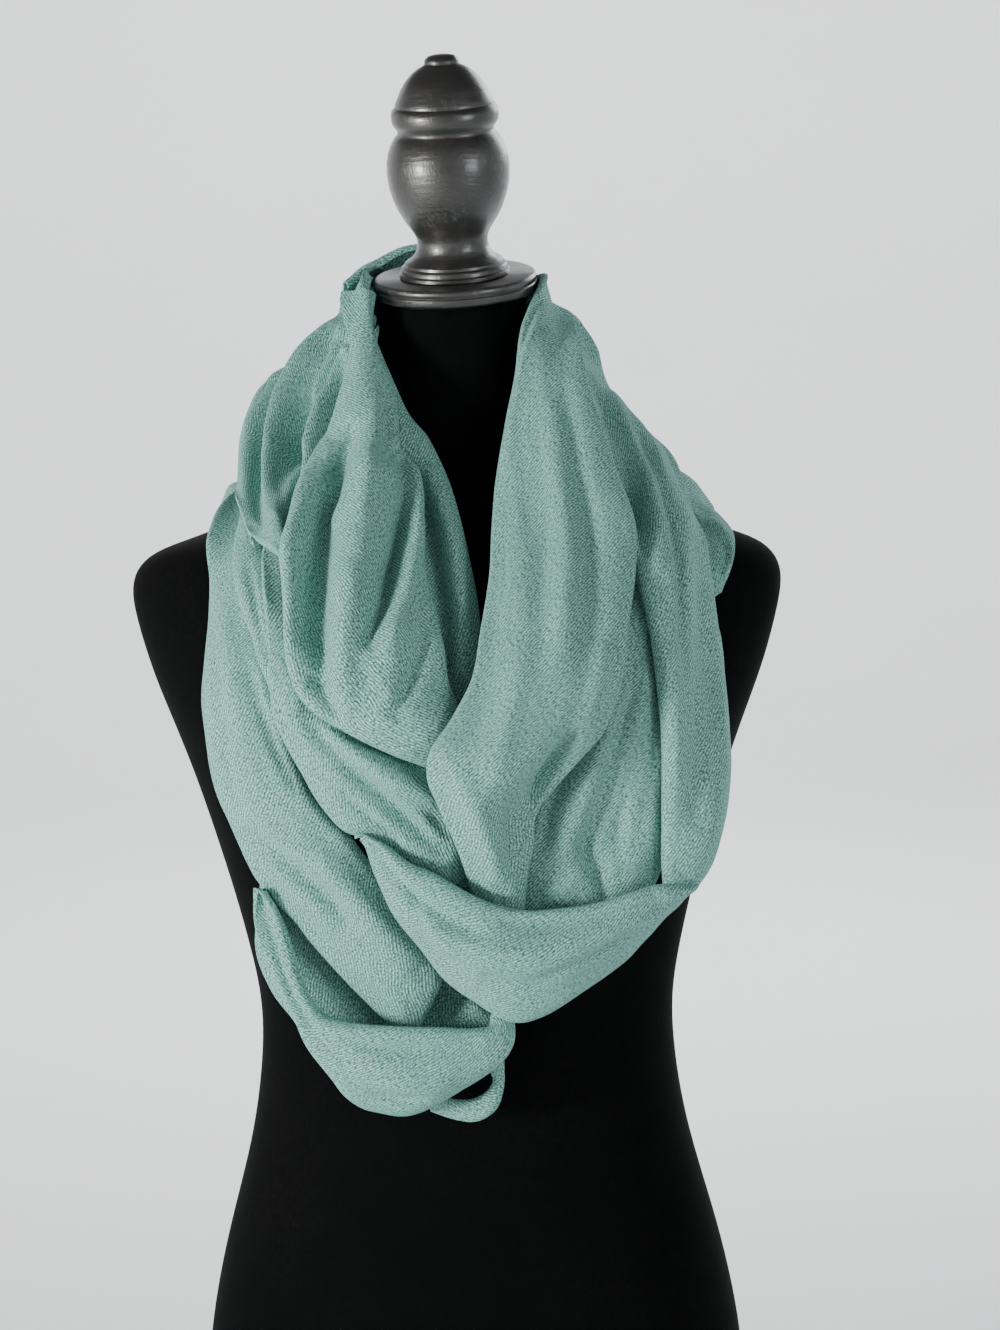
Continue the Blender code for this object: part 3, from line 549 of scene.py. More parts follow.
class Wire:
    """A shader value that takes part in sums, so that maths on a surface reads as maths."""

    def __init__(self, graph: "Graph", socket: bpy.types.NodeSocket) -> None:
        """Wraps one output socket.

        Args:
            graph: The node tree that the socket is in.
            socket: The output that carries the value.
        """
        self.graph = graph
        self.socket = socket

    def _maths(self, operation: str, first: object, second: object) -> "Wire":
        """Adds one Math node.

        Args:
            operation: The node's operation.
            first: Its first value, a wire or a number.
            second: Its second value, a wire or a number.

        Returns:
            The node's result.
        """
        return self.graph.node("ShaderNodeMath", {"operation": operation}, {0: first, 1: second})

    def __add__(self, other: object) -> "Wire":
        """The sum of two values."""
        return self._maths("ADD", self, other)

    def __radd__(self, other: object) -> "Wire":
        """The sum of two values."""
        return self._maths("ADD", other, self)

    def __mul__(self, other: object) -> "Wire":
        """The product of two values."""
        return self._maths("MULTIPLY", self, other)

    def __rmul__(self, other: object) -> "Wire":
        """The product of two values."""
        return self._maths("MULTIPLY", other, self)

    def sine(self) -> "Wire":
        """The sine of this value, in radians."""
        return self._maths("SINE", self, 0.0)


class Graph:
    """The node tree of one new material."""

    def __init__(self, name: str) -> None:
        """Starts an empty material.

        Args:
            name: The material's name.
        """
        self.material = bpy.data.materials.new(name)
        self.material.use_nodes = True
        self.tree = self.material.node_tree
        self.tree.nodes.clear()

    def node(
        self,
        kind: str,
        settings: dict[str, object],
        sockets: dict[object, object],
        output: object = 0,
    ) -> Wire:
        """Adds one node, with its settings made first.

        Args:
            kind: The node's type.
            settings: Its properties; "stops" gives a ramp's positions and colours.
            sockets: A value or a wire for each input, by name or number.
            output: The output that is wanted, by name or number.

        Returns:
            The wanted output.
        """
        made = self.tree.nodes.new(kind)
        for key, value in settings.items():
            if key == "stops":
                self._set_stops(made.color_ramp, value)
            else:
                setattr(made, key, value)
        for key, value in sockets.items():
            if isinstance(value, Wire):
                self.tree.links.new(value.socket, made.inputs[key])
            else:
                made.inputs[key].default_value = value
        return Wire(self, made.outputs[output])

    @staticmethod
    def _set_stops(ramp: bpy.types.ColorRamp, stops: Iterable[tuple[float, float]]) -> None:
        """Gives a ramp its grey stops.

        Args:
            ramp: The ramp of a Color Ramp node, with its two first stops.
            stops: The position and the grey level of each stop, from left to right.
        """
        for index, (position, level) in enumerate(stops):
            stop = ramp.elements[index] if index < 2 else ramp.elements.new(position)
            stop.position = position
            stop.color = (level, level, level, 1)

    def mix(self, share: object, first: object, second: object) -> Wire:
        """Mixes two colours.

        Args:
            share: How much of the second there is, from 0 to 1.
            first: The first colour.
            second: The second colour.

        Returns:
            The mixed colour.
        """
        # A Mix node's colour inputs are its sixth and seventh, and its colour output the third.
        return self.node(
            "ShaderNodeMix", {"data_type": "RGBA"}, {0: share, 6: first, 7: second}, 2
        )

    def noise(self, place: Wire, scale: float, detail: float = 2.0, rough: float = 0.5) -> Wire:
        """Adds cloudy noise.

        Args:
            place: The coordinates that it follows.
            scale: Its fineness, in repeats a metre.
            detail: How many finer layers it has.
            rough: How strong the finer layers are.

        Returns:
            The noise, about 0.5 in the middle.
        """
        return self.node(
            "ShaderNodeTexNoise",
            {},
            {"Vector": place, "Scale": scale, "Detail": detail, "Roughness": rough},
        )

    def ramp(self, value: Wire, low: float, high: float) -> Wire:
        """The value spread from 0 at the low level to 1 at the high one."""
        return self.node("ShaderNodeValToRGB", {"stops": ((low, 0.0), (high, 1.0))}, {0: value})

    def mapped(self, place: Wire, turn_degrees: float, scale: Place) -> Wire:
        """Turns and stretches coordinates.

        Args:
            place: The coordinates.
            turn_degrees: The turn about their third axis.
            scale: How much each axis is stretched afterwards.

        Returns:
            The new coordinates.
        """
        turn = (0, 0, math.radians(turn_degrees))
        turned = self.node("ShaderNodeMapping", {}, {"Vector": place, "Rotation": turn})
        return self.node("ShaderNodeMapping", {}, {"Vector": turned, "Scale": scale})

    def bump(self, height: Wire, strength: float, depth: float) -> Wire:
        """Turns a height into surface relief.

        Args:
            height: The relief's height, from 0 to 1.
            strength: How much of it shows.
            depth: Its real height in metres.

        Returns:
            The normal.
        """
        return self.node(
            "ShaderNodeBump", {}, {"Height": height, "Strength": strength, "Distance": depth}
        )

    def finished(self, sockets: dict[object, object]) -> bpy.types.Material:
        """Closes the tree with its shader.

        Args:
            sockets: The values and wires of the Principled shader.

        Returns:
            The material.
        """
        shader = self.node("ShaderNodeBsdfPrincipled", {}, sockets)
        output = self.tree.nodes.new("ShaderNodeOutputMaterial")
        self.tree.links.new(shader.socket, output.inputs["Surface"])
        return self.material


@dataclass(frozen=True)
class MelangeCloth:
    """Light woven cloth of mixed yarns, with a faint twill line, pale flecks and a soft nap."""

    name: str = "teal_melange"
    deep: Colour = (0.028, 0.105, 0.092, 1)
    middle: Colour = (0.082, 0.245, 0.212, 1)
    pale: Colour = (0.46, 0.83, 0.745, 1)
    twill_pitch: float = 0.0015
    twill_slant: tuple[float, float] = (0.8, 0.6)
    twill_waver: float = 7.0
    waver_scale: float = 70
    fleck_turn: float = 38
    fleck_scale: Place = (600, 1250, 1)
    speck_turn: float = -20
    speck_scale: Place = (950, 620, 1)
    slub_scale: Place = (620, 75, 1)
    cloud_scale: float = 24
    weave_depth: float = 0.0008
    relief: float = 0.8

    def make(self) -> bpy.types.Material:
        """Builds the material.

        Returns:
            The material, which reads the piece's own map of the cloth, in metres.
        """
        graph = Graph(self.name)
        cloth = graph.node("ShaderNodeUVMap", {"uv_map": CLOTH_MAP}, {})
        across = graph.node("ShaderNodeSeparateXYZ", {}, {0: cloth}, 0)
        along = graph.node("ShaderNodeSeparateXYZ", {}, {0: cloth}, 1)
        slant_across, slant_along = self.twill_slant
        turns = 2 * math.pi / self.twill_pitch
        waver = graph.noise(cloth, self.waver_scale, 1) * self.twill_waver
        lines = (across * slant_across + along * slant_along) * turns + waver
        twill = lines.sine() * 0.5 + 0.5
        flecks = graph.noise(graph.mapped(cloth, self.fleck_turn, self.fleck_scale), 1, 2, 0.7)
        specks = graph.noise(graph.mapped(cloth, self.speck_turn, self.speck_scale), 1, 2, 0.6)
        slubs = graph.noise(graph.mapped(cloth, 0, self.slub_scale), 1, 3, 0.6)
        cloud = graph.noise(cloth, self.cloud_scale, 3, 0.6)
        yarn = graph.mix(graph.ramp(cloud, 0.36, 0.64), self.deep, self.middle)
        body = graph.mix(graph.ramp(slubs, 0.35, 0.68), yarn, self.middle)
        dark = graph.mix(graph.ramp(specks, 0.44, 0.58), body, self.deep)
        light = graph.ramp(flecks, 0.4, 0.58) * (0.3 + twill * 0.7)
        height = twill * 0.45 + flecks * 0.9 + specks * 0.4
        return graph.finished(
            {
                "Base Color": graph.mix(light, dark, self.pale),
                "Roughness": 0.85,
                "Specular IOR Level": 0.12,
                "Sheen Weight": 0.16,
                "Sheen Roughness": 0.45,
                "Sheen Tint": (0.4, 0.85, 0.78, 1),
                "Normal": graph.bump(height, self.relief, self.weave_depth),
            }
        )


@dataclass(frozen=True)
class PileVelvet:
    """Short black pile that takes almost no light, with a little dust in its nap."""

    name: str = "black_pile"
    pile: Colour = (0.0022, 0.0026, 0.0027, 1)
    dusted: Colour = (0.0075, 0.0066, 0.0062, 1)
    nap_scale: float = 700
    brushing_scale: float = 9
    nap_depth: float = 0.0006

    def make(self) -> bpy.types.Material:
        """Builds the material.

        Returns:
            The material.
        """
        graph = Graph(self.name)
        place = graph.node("ShaderNodeTexCoord", {}, {}, "Object")
        nap = graph.noise(graph.mapped(place, 0, (1, 1, 0.5)), self.nap_scale, 3, 0.65)
        brushed = graph.noise(place, self.brushing_scale, 3, 0.6)
        dust = graph.ramp(nap, 0.45, 0.75) * graph.ramp(brushed, 0.4, 0.75)
        return graph.finished(
            {
                "Base Color": graph.mix(dust, self.pile, self.dusted),
                "Roughness": 1.0,
                "Specular IOR Level": 0.05,
                "Sheen Weight": 0.03,
                "Sheen Roughness": 0.35,
                "Normal": graph.bump(nap, 0.35, self.nap_depth),
            }
        )


@dataclass(frozen=True)
class PaintedWood:
    """Turned wood under a thin coat of black satin paint, brushed round and rubbed in scattered
    scuffs.
    """

    name: str = "black_satin_paint"
    paint: Colour = (0.014, 0.0130, 0.0122, 1)
    rubbed: Colour = (0.10, 0.093, 0.085, 1)
    brush_scale: Place = (45, 60, 420)
    pore_scale: Place = (260, 900, 240)
    wear_scale: float = 38
    paint_depth: float = 0.0009

    def make(self) -> bpy.types.Material:
        """Builds the material.

        Returns:
            The material.
        """
        graph = Graph(self.name)
        place = graph.node("ShaderNodeTexCoord", {}, {}, "Object")
        brush = graph.noise(graph.mapped(place, 8, self.brush_scale), 1, 4, 0.6)
        pores = graph.noise(graph.mapped(place, -35, self.pore_scale), 1, 3, 0.7)
        wear = graph.noise(place, self.wear_scale, 4, 0.65)
        scuff = graph.ramp(wear, 0.5, 0.72) * graph.ramp(pores, 0.5, 0.66)
        return graph.finished(
            {
                "Base Color": graph.mix(scuff, self.paint, self.rubbed),
                "Roughness": 0.2 + brush * 0.3 + scuff * 0.18,
                "Specular IOR Level": 0.75,
                "Coat Weight": 0.35,
                "Coat Roughness": 0.18,
                "Normal": graph.bump(brush * 0.8 + pores * 0.5, 0.5, self.paint_depth),
            }
        )


@dataclass(frozen=True)
class PlainGround:
    """Smooth pale paper for the floor and the wall behind."""

    name: str = "pale_paper"
    colour: Colour = (0.94, 0.945, 0.95, 1)
    shade: Colour = (0.91, 0.915, 0.92, 1)

    def make(self) -> bpy.types.Material:
        """Builds the material.

        Returns:
            The material.
        """
        graph = Graph(self.name)
        place = graph.node("ShaderNodeTexCoord", {}, {}, "Object")
        tone = graph.mix(graph.noise(place, 3, 2), self.colour, self.shade)
        return graph.finished({"Base Color": tone, "Roughness": 0.9})


# ---------------------------------------------------------------- modelling by hand


def select_only(obj: bpy.types.Object) -> None:
    """Makes one object the only one selected, and the active one."""
    for other in bpy.context.scene.objects:
        other.select_set(other is obj)
    bpy.context.view_layer.objects.active = obj


def finish_piece(obj: bpy.types.Object, material: bpy.types.Material, sharp_degrees: float) -> None:
    """Applies a piece's place, smooths it and gives it its finish.

    Args:
        obj: The piece.
        material: Its finish.
        sharp_degrees: Edges that turn more than this stay crisp.
    """
    select_only(obj)
    bpy.ops.object.transform_apply(location=True, rotation=True, scale=True)
    bpy.ops.object.shade_smooth_by_angle(angle=math.radians(sharp_degrees))
    obj.data.materials.clear()
    obj.data.materials.append(material)


def apply_modifier(obj: bpy.types.Object, kind: str, **settings: object) -> None:
    """Adds a modifier, sets it and applies it.

    Args:
        obj: The object that gets it.
        kind: The modifier's type.
        **settings: Its properties.
    """
    select_only(obj)
    made = obj.modifiers.new(kind.lower(), kind)
    for key, value in settings.items():
        setattr(made, key, value)
    bpy.ops.object.modifier_apply(modifier=made.name)


def report(piece: bpy.types.Object) -> None:
    """Logs a finished piece."""
    log.info("%s: %d faces", piece.name, len(piece.data.polygons))


def turned(name: str, profile: Iterable[tuple[float, float]], sides: int) -> bpy.types.Object:
    """Turns a solid piece from its profile, ring by ring from the bottom.

    Args:
        name: The piece's name.
        profile: Radius and height of each ring, in millimetres.
        sides: How many sides the rings have.

    Returns:
        The piece, closed at both ends, standing on its own axis.
    """
    rings = list(profile)
    radius, height = rings[0]
    bpy.ops.object.select_all(action="DESELECT")
    bpy.ops.mesh.primitive_circle_add(
        vertices=sides, radius=radius * MM, fill_type="NGON", location=(0, 0, height * MM)
    )
    made = bpy.context.object
    made.name = name
    bpy.ops.object.mode_set(mode="EDIT")
    for next_radius, next_height in rings[1:]:
        rise, share = (next_height - height) * MM, next_radius / radius
        bpy.ops.mesh.extrude_region_move(TRANSFORM_OT_translate={"value": (0, 0, rise)})
        bpy.ops.transform.resize(value=(share, share, 1))
        radius, height = next_radius, next_height
    bpy.ops.mesh.select_all(action="SELECT")
    bpy.ops.mesh.normals_make_consistent(inside=False)
    bpy.ops.object.mode_set(mode="OBJECT")
    return made


def smooth_copy(node: str, name: str, levels: int, bottom: float) -> bpy.types.Object:
    """A finer copy of a model's node, with its loose triangles joined first.

    Args:
        node: The node's name.
        name: The new piece's name.
        levels: How many times it is subdivided.
        bottom: The height of its flat underside, in millimetres, which stays flat.

    Returns:
        The new piece.
    """
    made = bpy.data.objects.new(name, frame["nodes"][node].data.copy())
    bpy.context.scene.collection.objects.link(made)
    select_only(made)
    bpy.ops.object.mode_set(mode="EDIT")
    bpy.ops.mesh.select_all(action="SELECT")
    bpy.ops.mesh.remove_doubles(threshold=0.01 * MM)
    bpy.ops.mesh.tris_convert_to_quads()
    bpy.ops.mesh.customdata_custom_splitnormals_clear()
    bpy.ops.mesh.select_mode(type="FACE")
    bpy.ops.mesh.select_all(action="DESELECT")
    bpy.ops.object.mode_set(mode="OBJECT")
    for face in made.data.polygons:
        face.select = face.center.z < (bottom + 1) * MM
    bpy.ops.object.mode_set(mode="EDIT")
    bpy.ops.mesh.dissolve_faces()
    for inset in RIM_INSETS:
        bpy.ops.mesh.inset(thickness=inset * MM, depth=0)
    bpy.ops.object.mode_set(mode="OBJECT")
    apply_modifier(made, "SUBSURF", levels=levels, render_levels=levels)
    return made


@dataclass
class DressForm:
    """The limbless velvet form on its turned stand, with a turned cap and finial on its neck."""

    cap_centre: Place = (3.0, 0.0, 847.0)
    cap_tip_degrees: float = 14.0
    cap_lean_degrees: float = 2.0
    turning_sides: int = 96
    sharp_degrees: float = 38.0
    torso_bottom: float = 120.0
    torso_levels: int = 2

    cap_profile: tuple[tuple[float, float], ...] = (
        (44.9, -10.5), (46.0, -10.3), (46.9, -9.6), (47.2, -8.6), (47.2, -5.6), (46.6, -4.9),
        (46.6, -4.3), (47.1, -3.6), (47.1, -1.9), (46.5, -0.7), (45.4, 0.0),
    )
    finial_profile: tuple[tuple[float, float], ...] = (
        (31.5, 0.3), (32.0, 0.8), (32.0, 2.5), (31.5, 3.0), (30.5, 3.3), (30.4, 5.6),
        (29.9, 6.2), (28.4, 6.7), (28.2, 8.2), (27.2, 9.0), (24.8, 10.4), (22.4, 12.7),
        (20.8, 15.6), (20.2, 19.0), (20.5, 22.2), (21.8, 25.2), (24.2, 28.9), (27.0, 33.0),
        (30.0, 38.6), (32.5, 45.0), (34.3, 52.2), (35.0, 60.0), (34.7, 65.5), (33.5, 71.0),
        (31.6, 75.6), (29.2, 79.4), (27.8, 80.6), (27.4, 81.4), (27.3, 82.4), (27.6, 83.6),
        (28.9, 85.0), (30.0, 87.0), (30.5, 89.4), (30.5, 92.2), (29.9, 94.2), (28.6, 95.6),
        (27.9, 96.2), (28.0, 97.0), (27.4, 98.6), (26.2, 101.0), (24.4, 105.0), (21.6, 109.4),
        (18.0, 113.4), (14.0, 116.4), (10.8, 118.0), (9.7, 118.8), (9.9, 120.0), (9.2, 121.6),
        (7.2, 123.1), (4.2, 123.8), (1.2, 124.0),
    )
    pole_profile: tuple[tuple[float, float], ...] = (
        (15.6, 22.3), (16.0, 22.8), (16.0, 30.0), (15.2, 31.4), (14.6, 34.0), (14.6, 108.0),
        (15.2, 110.6), (16.0, 112.0), (16.0, 119.2), (15.6, 119.7),
    )
    base_profile: tuple[tuple[float, float], ...] = (
        (148.6, 0.0), (150.0, 1.2), (150.0, 10.0), (149.4, 12.4), (147.4, 14.2), (145.2, 14.8),
        (144.6, 15.6), (144.2, 17.8), (142.4, 20.2), (139.0, 21.5), (134.0, 22.0), (20.0, 22.0),
    )

    def build(self) -> list[bpy.types.Object]:
        """Makes and finishes the form's pieces.

        Returns:
            The torso, the cap, the finial, the pole and the base.
        """
        velvet, paint = PileVelvet().make(), PaintedWood().make()
        tipped = (math.radians(self.cap_tip_degrees), math.radians(-self.cap_lean_degrees), 0)
        torso = smooth_copy("form_torso", "velvet_torso", self.torso_levels, self.torso_bottom)
        finish_piece(torso, velvet, self.sharp_degrees)
        self._declare(torso, "form_torso", "black_velvet")
        made = [torso]
        for name, node, profile, at_neck in (
            ("turned_cap", "neck_cap", self.cap_profile, True),
            ("turned_finial", "neck_finial", self.finial_profile, True),
            ("turned_pole", "stand_pole", self.pole_profile, False),
            ("turned_base", "stand_base", self.base_profile, False),
        ):
            piece = turned(name, profile, self.turning_sides)
            if at_neck:
                self._place(piece, tipped)
            finish_piece(piece, paint, self.sharp_degrees)
            self._declare(piece, node, "black_wood")
            made.append(piece)
        return made

    def _place(self, piece: bpy.types.Object, tipped: Place) -> None:
        """Tips a turning about the middle of the cap's top face and puts it there.

        Args:
            piece: The turning, which stands on its own axis.
            tipped: Its turn, in radians.
        """
        select_only(piece)
        bpy.ops.object.transform_apply(location=True, rotation=False, scale=False)
        piece.location = Vector(self.cap_centre) * MM
        piece.rotation_euler = tipped

    @staticmethod
    def _declare(piece: bpy.types.Object, node: str, slot: str) -> None:
        """Attaches a piece to the root body, hides the node that it stands for, and logs it.

        Args:
            piece: The piece.
            node: The model's node that it stands for.
            slot: Not used.
        """
        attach(piece, "root")
        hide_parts(node)
        report(piece)


# ---------------------------------------------------------------- cloth


def along_table(table: np.ndarray, places: np.ndarray) -> np.ndarray:
    """Values of a table at places that count its rows, on a curve that runs through every row.

    Args:
        table: The rows.
        places: Where the values are wanted, such as 2.5 for half-way past the third row.

    Returns:
        A row for each place.
    """
    longer = np.vstack((2 * table[0] - table[1], table, 2 * table[-1] - table[-2]))
    index = np.clip(places.astype(int), 0, len(table) - 2)
    share = (places - index)[:, None]
    before, start, end, after = (longer[index + step] for step in range(4))
    return 0.5 * (
        2 * start
        + (end - before) * share
        + (2 * before - 5 * start + 4 * end - after) * share**2
        + (3 * start - before - 3 * end + after) * share**3
    )


def unit(vectors: np.ndarray) -> np.ndarray:
    """The vectors, each scaled to length 1."""
    return vectors / np.maximum(np.linalg.norm(vectors, axis=-1, keepdims=True), 1e-9)


def blurred(grid: np.ndarray, passes: int) -> np.ndarray:
    """A grid smoothed with its neighbours.

    Args:
        grid: Values along the first two axes.
        passes: How many times each value is averaged with those beside it.

    Returns:
        The smoothed grid.
    """
    for _ in range(passes):
        for axis in (0, 1):
            before = np.concatenate(
                (grid.take([0], axis), grid.take(range(grid.shape[axis] - 1), axis)), axis
            )
            after = np.concatenate(
                (grid.take(range(1, grid.shape[axis]), axis), grid.take([-1], axis)), axis
            )
            grid = grid * 0.5 + (before + after) * 0.25
    return grid


def beside(grid: np.ndarray) -> tuple[np.ndarray, ...]:
    """The values before, after, left and right of each value of a grid."""
    longer = np.pad(grid, 1, mode="edge")
    here, before, after = slice(1, -1), slice(None, -2), slice(2, None)
    return longer[before, here], longer[after, here], longer[here, before], longer[here, after]


def widened(grid: np.ndarray, passes: int) -> np.ndarray:
    """A grid where each value is the highest of those within this many steps."""
    for _ in range(passes):
        grid = np.maximum.reduce([grid, *beside(grid)])
    return grid


def eased(needed: np.ndarray, passes: int) -> np.ndarray:
    """The lowest smooth lifts that are nowhere less than those needed.

    Args:
        needed: How far each point has to move.
        passes: How far the lifts spread, in rounds of averaging.

    Returns:
        How far each point moves.
    """
    lifts = needed
    for _ in range(passes):
        lifts = np.maximum(needed, sum(beside(lifts)) / 4)
    return lifts


def ripples(
    rng: np.random.Generator, along: np.ndarray, across: np.ndarray, run: float, pitch: float
) -> np.ndarray:
    """Uneven fine wrinkles that run mostly along the cloth.

    Args:
        rng: The seeded source of chance.
        along: Each point's distance along the cloth, in millimetres.
        across: Each point's distance across the cloth, in millimetres.
        run: About how long a wrinkle is.
        pitch: About how far apart the wrinkles are.

    Returns:
        A height for each point, between about -1 and 1.
    """
    knots = rng.uniform(-1, 1, (64, 64))
    place_a = (along / run) % 63
    place_b = (across / pitch + 20) % 63
    index_a, index_b = place_a.astype(int), place_b.astype(int)
    share_a, share_b = place_a - index_a, place_b - index_b
    share_a = share_a * share_a * (3 - 2 * share_a)
    share_b = share_b * share_b * (3 - 2 * share_b)
    near = knots[index_a, index_b] * (1 - share_a) + knots[index_a + 1, index_b] * share_a
    far = knots[index_a, index_b + 1] * (1 - share_a) + knots[index_a + 1, index_b + 1] * share_a
    return near * (1 - share_b) + far * share_b


def line_distances(
    line: Iterable[tuple[float, float]], x: np.ndarray, z: np.ndarray
) -> tuple[np.ndarray, np.ndarray, np.ndarray]:
    """How far points are from a line of straight runs.

    Args:
        line: The line's (x, z) points.
        x: Each point's x.
        z: Each point's z.

    Returns:
        The distance, the side (1 on the left of the line, -1 on its right), and the share of the
        line's length at the nearest place.
    """
    knots = np.array(list(line), float)
    steps = np.diff(knots, axis=0)
    lengths = np.linalg.norm(steps, axis=1)
    starts = np.concatenate(([0], np.cumsum(lengths)))
    nearest = np.full(x.shape, np.inf)
    side = np.ones(x.shape)
    share = np.zeros(x.shape)
    for knot, step, length, start in zip(knots, steps, lengths, starts):
        dx, dz = x - knot[0], z - knot[1]
        raw = (dx * step[0] + dz * step[1]) / length**2
        part = np.clip(raw, 0, 1)
        away = np.hypot(dx - part * step[0], dz - part * step[1])
        closer = away < nearest
        nearest = np.where(closer, away, nearest)
        side = np.where(closer, np.sign(step[0] * dz - step[1] * dx), side)
        share = np.where(closer, (start + raw * length) / starts[-1], share)
    return nearest, side, share


def crease_lift(crease: Crease, x: np.ndarray, z: np.ndarray) -> np.ndarray:
    """How far one crease moves points of the cloth.

    Args:
        crease: The crease.
        x: Each point's x.
        z: Each point's z.

    Returns:
        The move out of the cloth, in millimetres.
    """
    away, side, share = line_distances(crease.line, x, z)
    fade = np.sin(np.pi * np.clip(share, 0, 1)) ** 0.5
    off = away / crease.half_width
    if crease.kind is CreaseKind.ROUND:
        shape = np.exp(-(off**2))
    elif crease.kind is CreaseKind.SHARP:
        shape = np.exp(-np.sqrt(off**2 + SHARP_ROUNDING) * 1.4) * 1.2
    else:
        shape = side * np.tanh(away / TUCK_STEP) * np.exp(-off)
    return crease.lift * fade * shape


class Drape:
    """What the next stretch of cloth lies on: the form, and the stretches already laid."""

    reach = 60.0

    def __init__(self) -> None:
        """Starts with nothing."""
        self.points: list[list[float]] = []
        self.faces: list[list[int]] = []
        self.tree: BVHTree | None = None

    def add(self, points: list[list[float]], faces: list[list[int]]) -> None:
        """Adds a surface, with its points in millimetres.

        Args:
            points: Its points.
            faces: Its faces, by point.
        """
        first = len(self.points)
        self.points.extend(points)
        self.faces.extend([[i + first for i in face] for face in faces])
        self.tree = BVHTree.FromPolygons(self.points, self.faces)

    def add_piece(self, obj: bpy.types.Object) -> None:
        """Adds a finished piece's mesh."""
        points = [list(vertex.co / MM) for vertex in obj.data.vertices]
        self.add(points, [list(face.vertices) for face in obj.data.polygons])

    def needed(self, points: np.ndarray, outs: np.ndarray, clearance: float) -> np.ndarray:
        """How far points have to move out to lie clear of all that is under them.

        Args:
            points: A grid of points.
            outs: The direction out of the cloth at each.
            clearance: How far clear they have to be.

        Returns:
            The move for each point, 0 or more.
        """
        far = self.reach + clearance
        made = np.zeros(points.shape[:2])
        starts = points + outs * self.reach
        for place in np.ndindex(made.shape):
            hit = self.tree.ray_cast(Vector(starts[place]), Vector(-outs[place]), far)
            if hit[0] is not None:
                made[place] = max(0.0, far - hit[3])
        return made


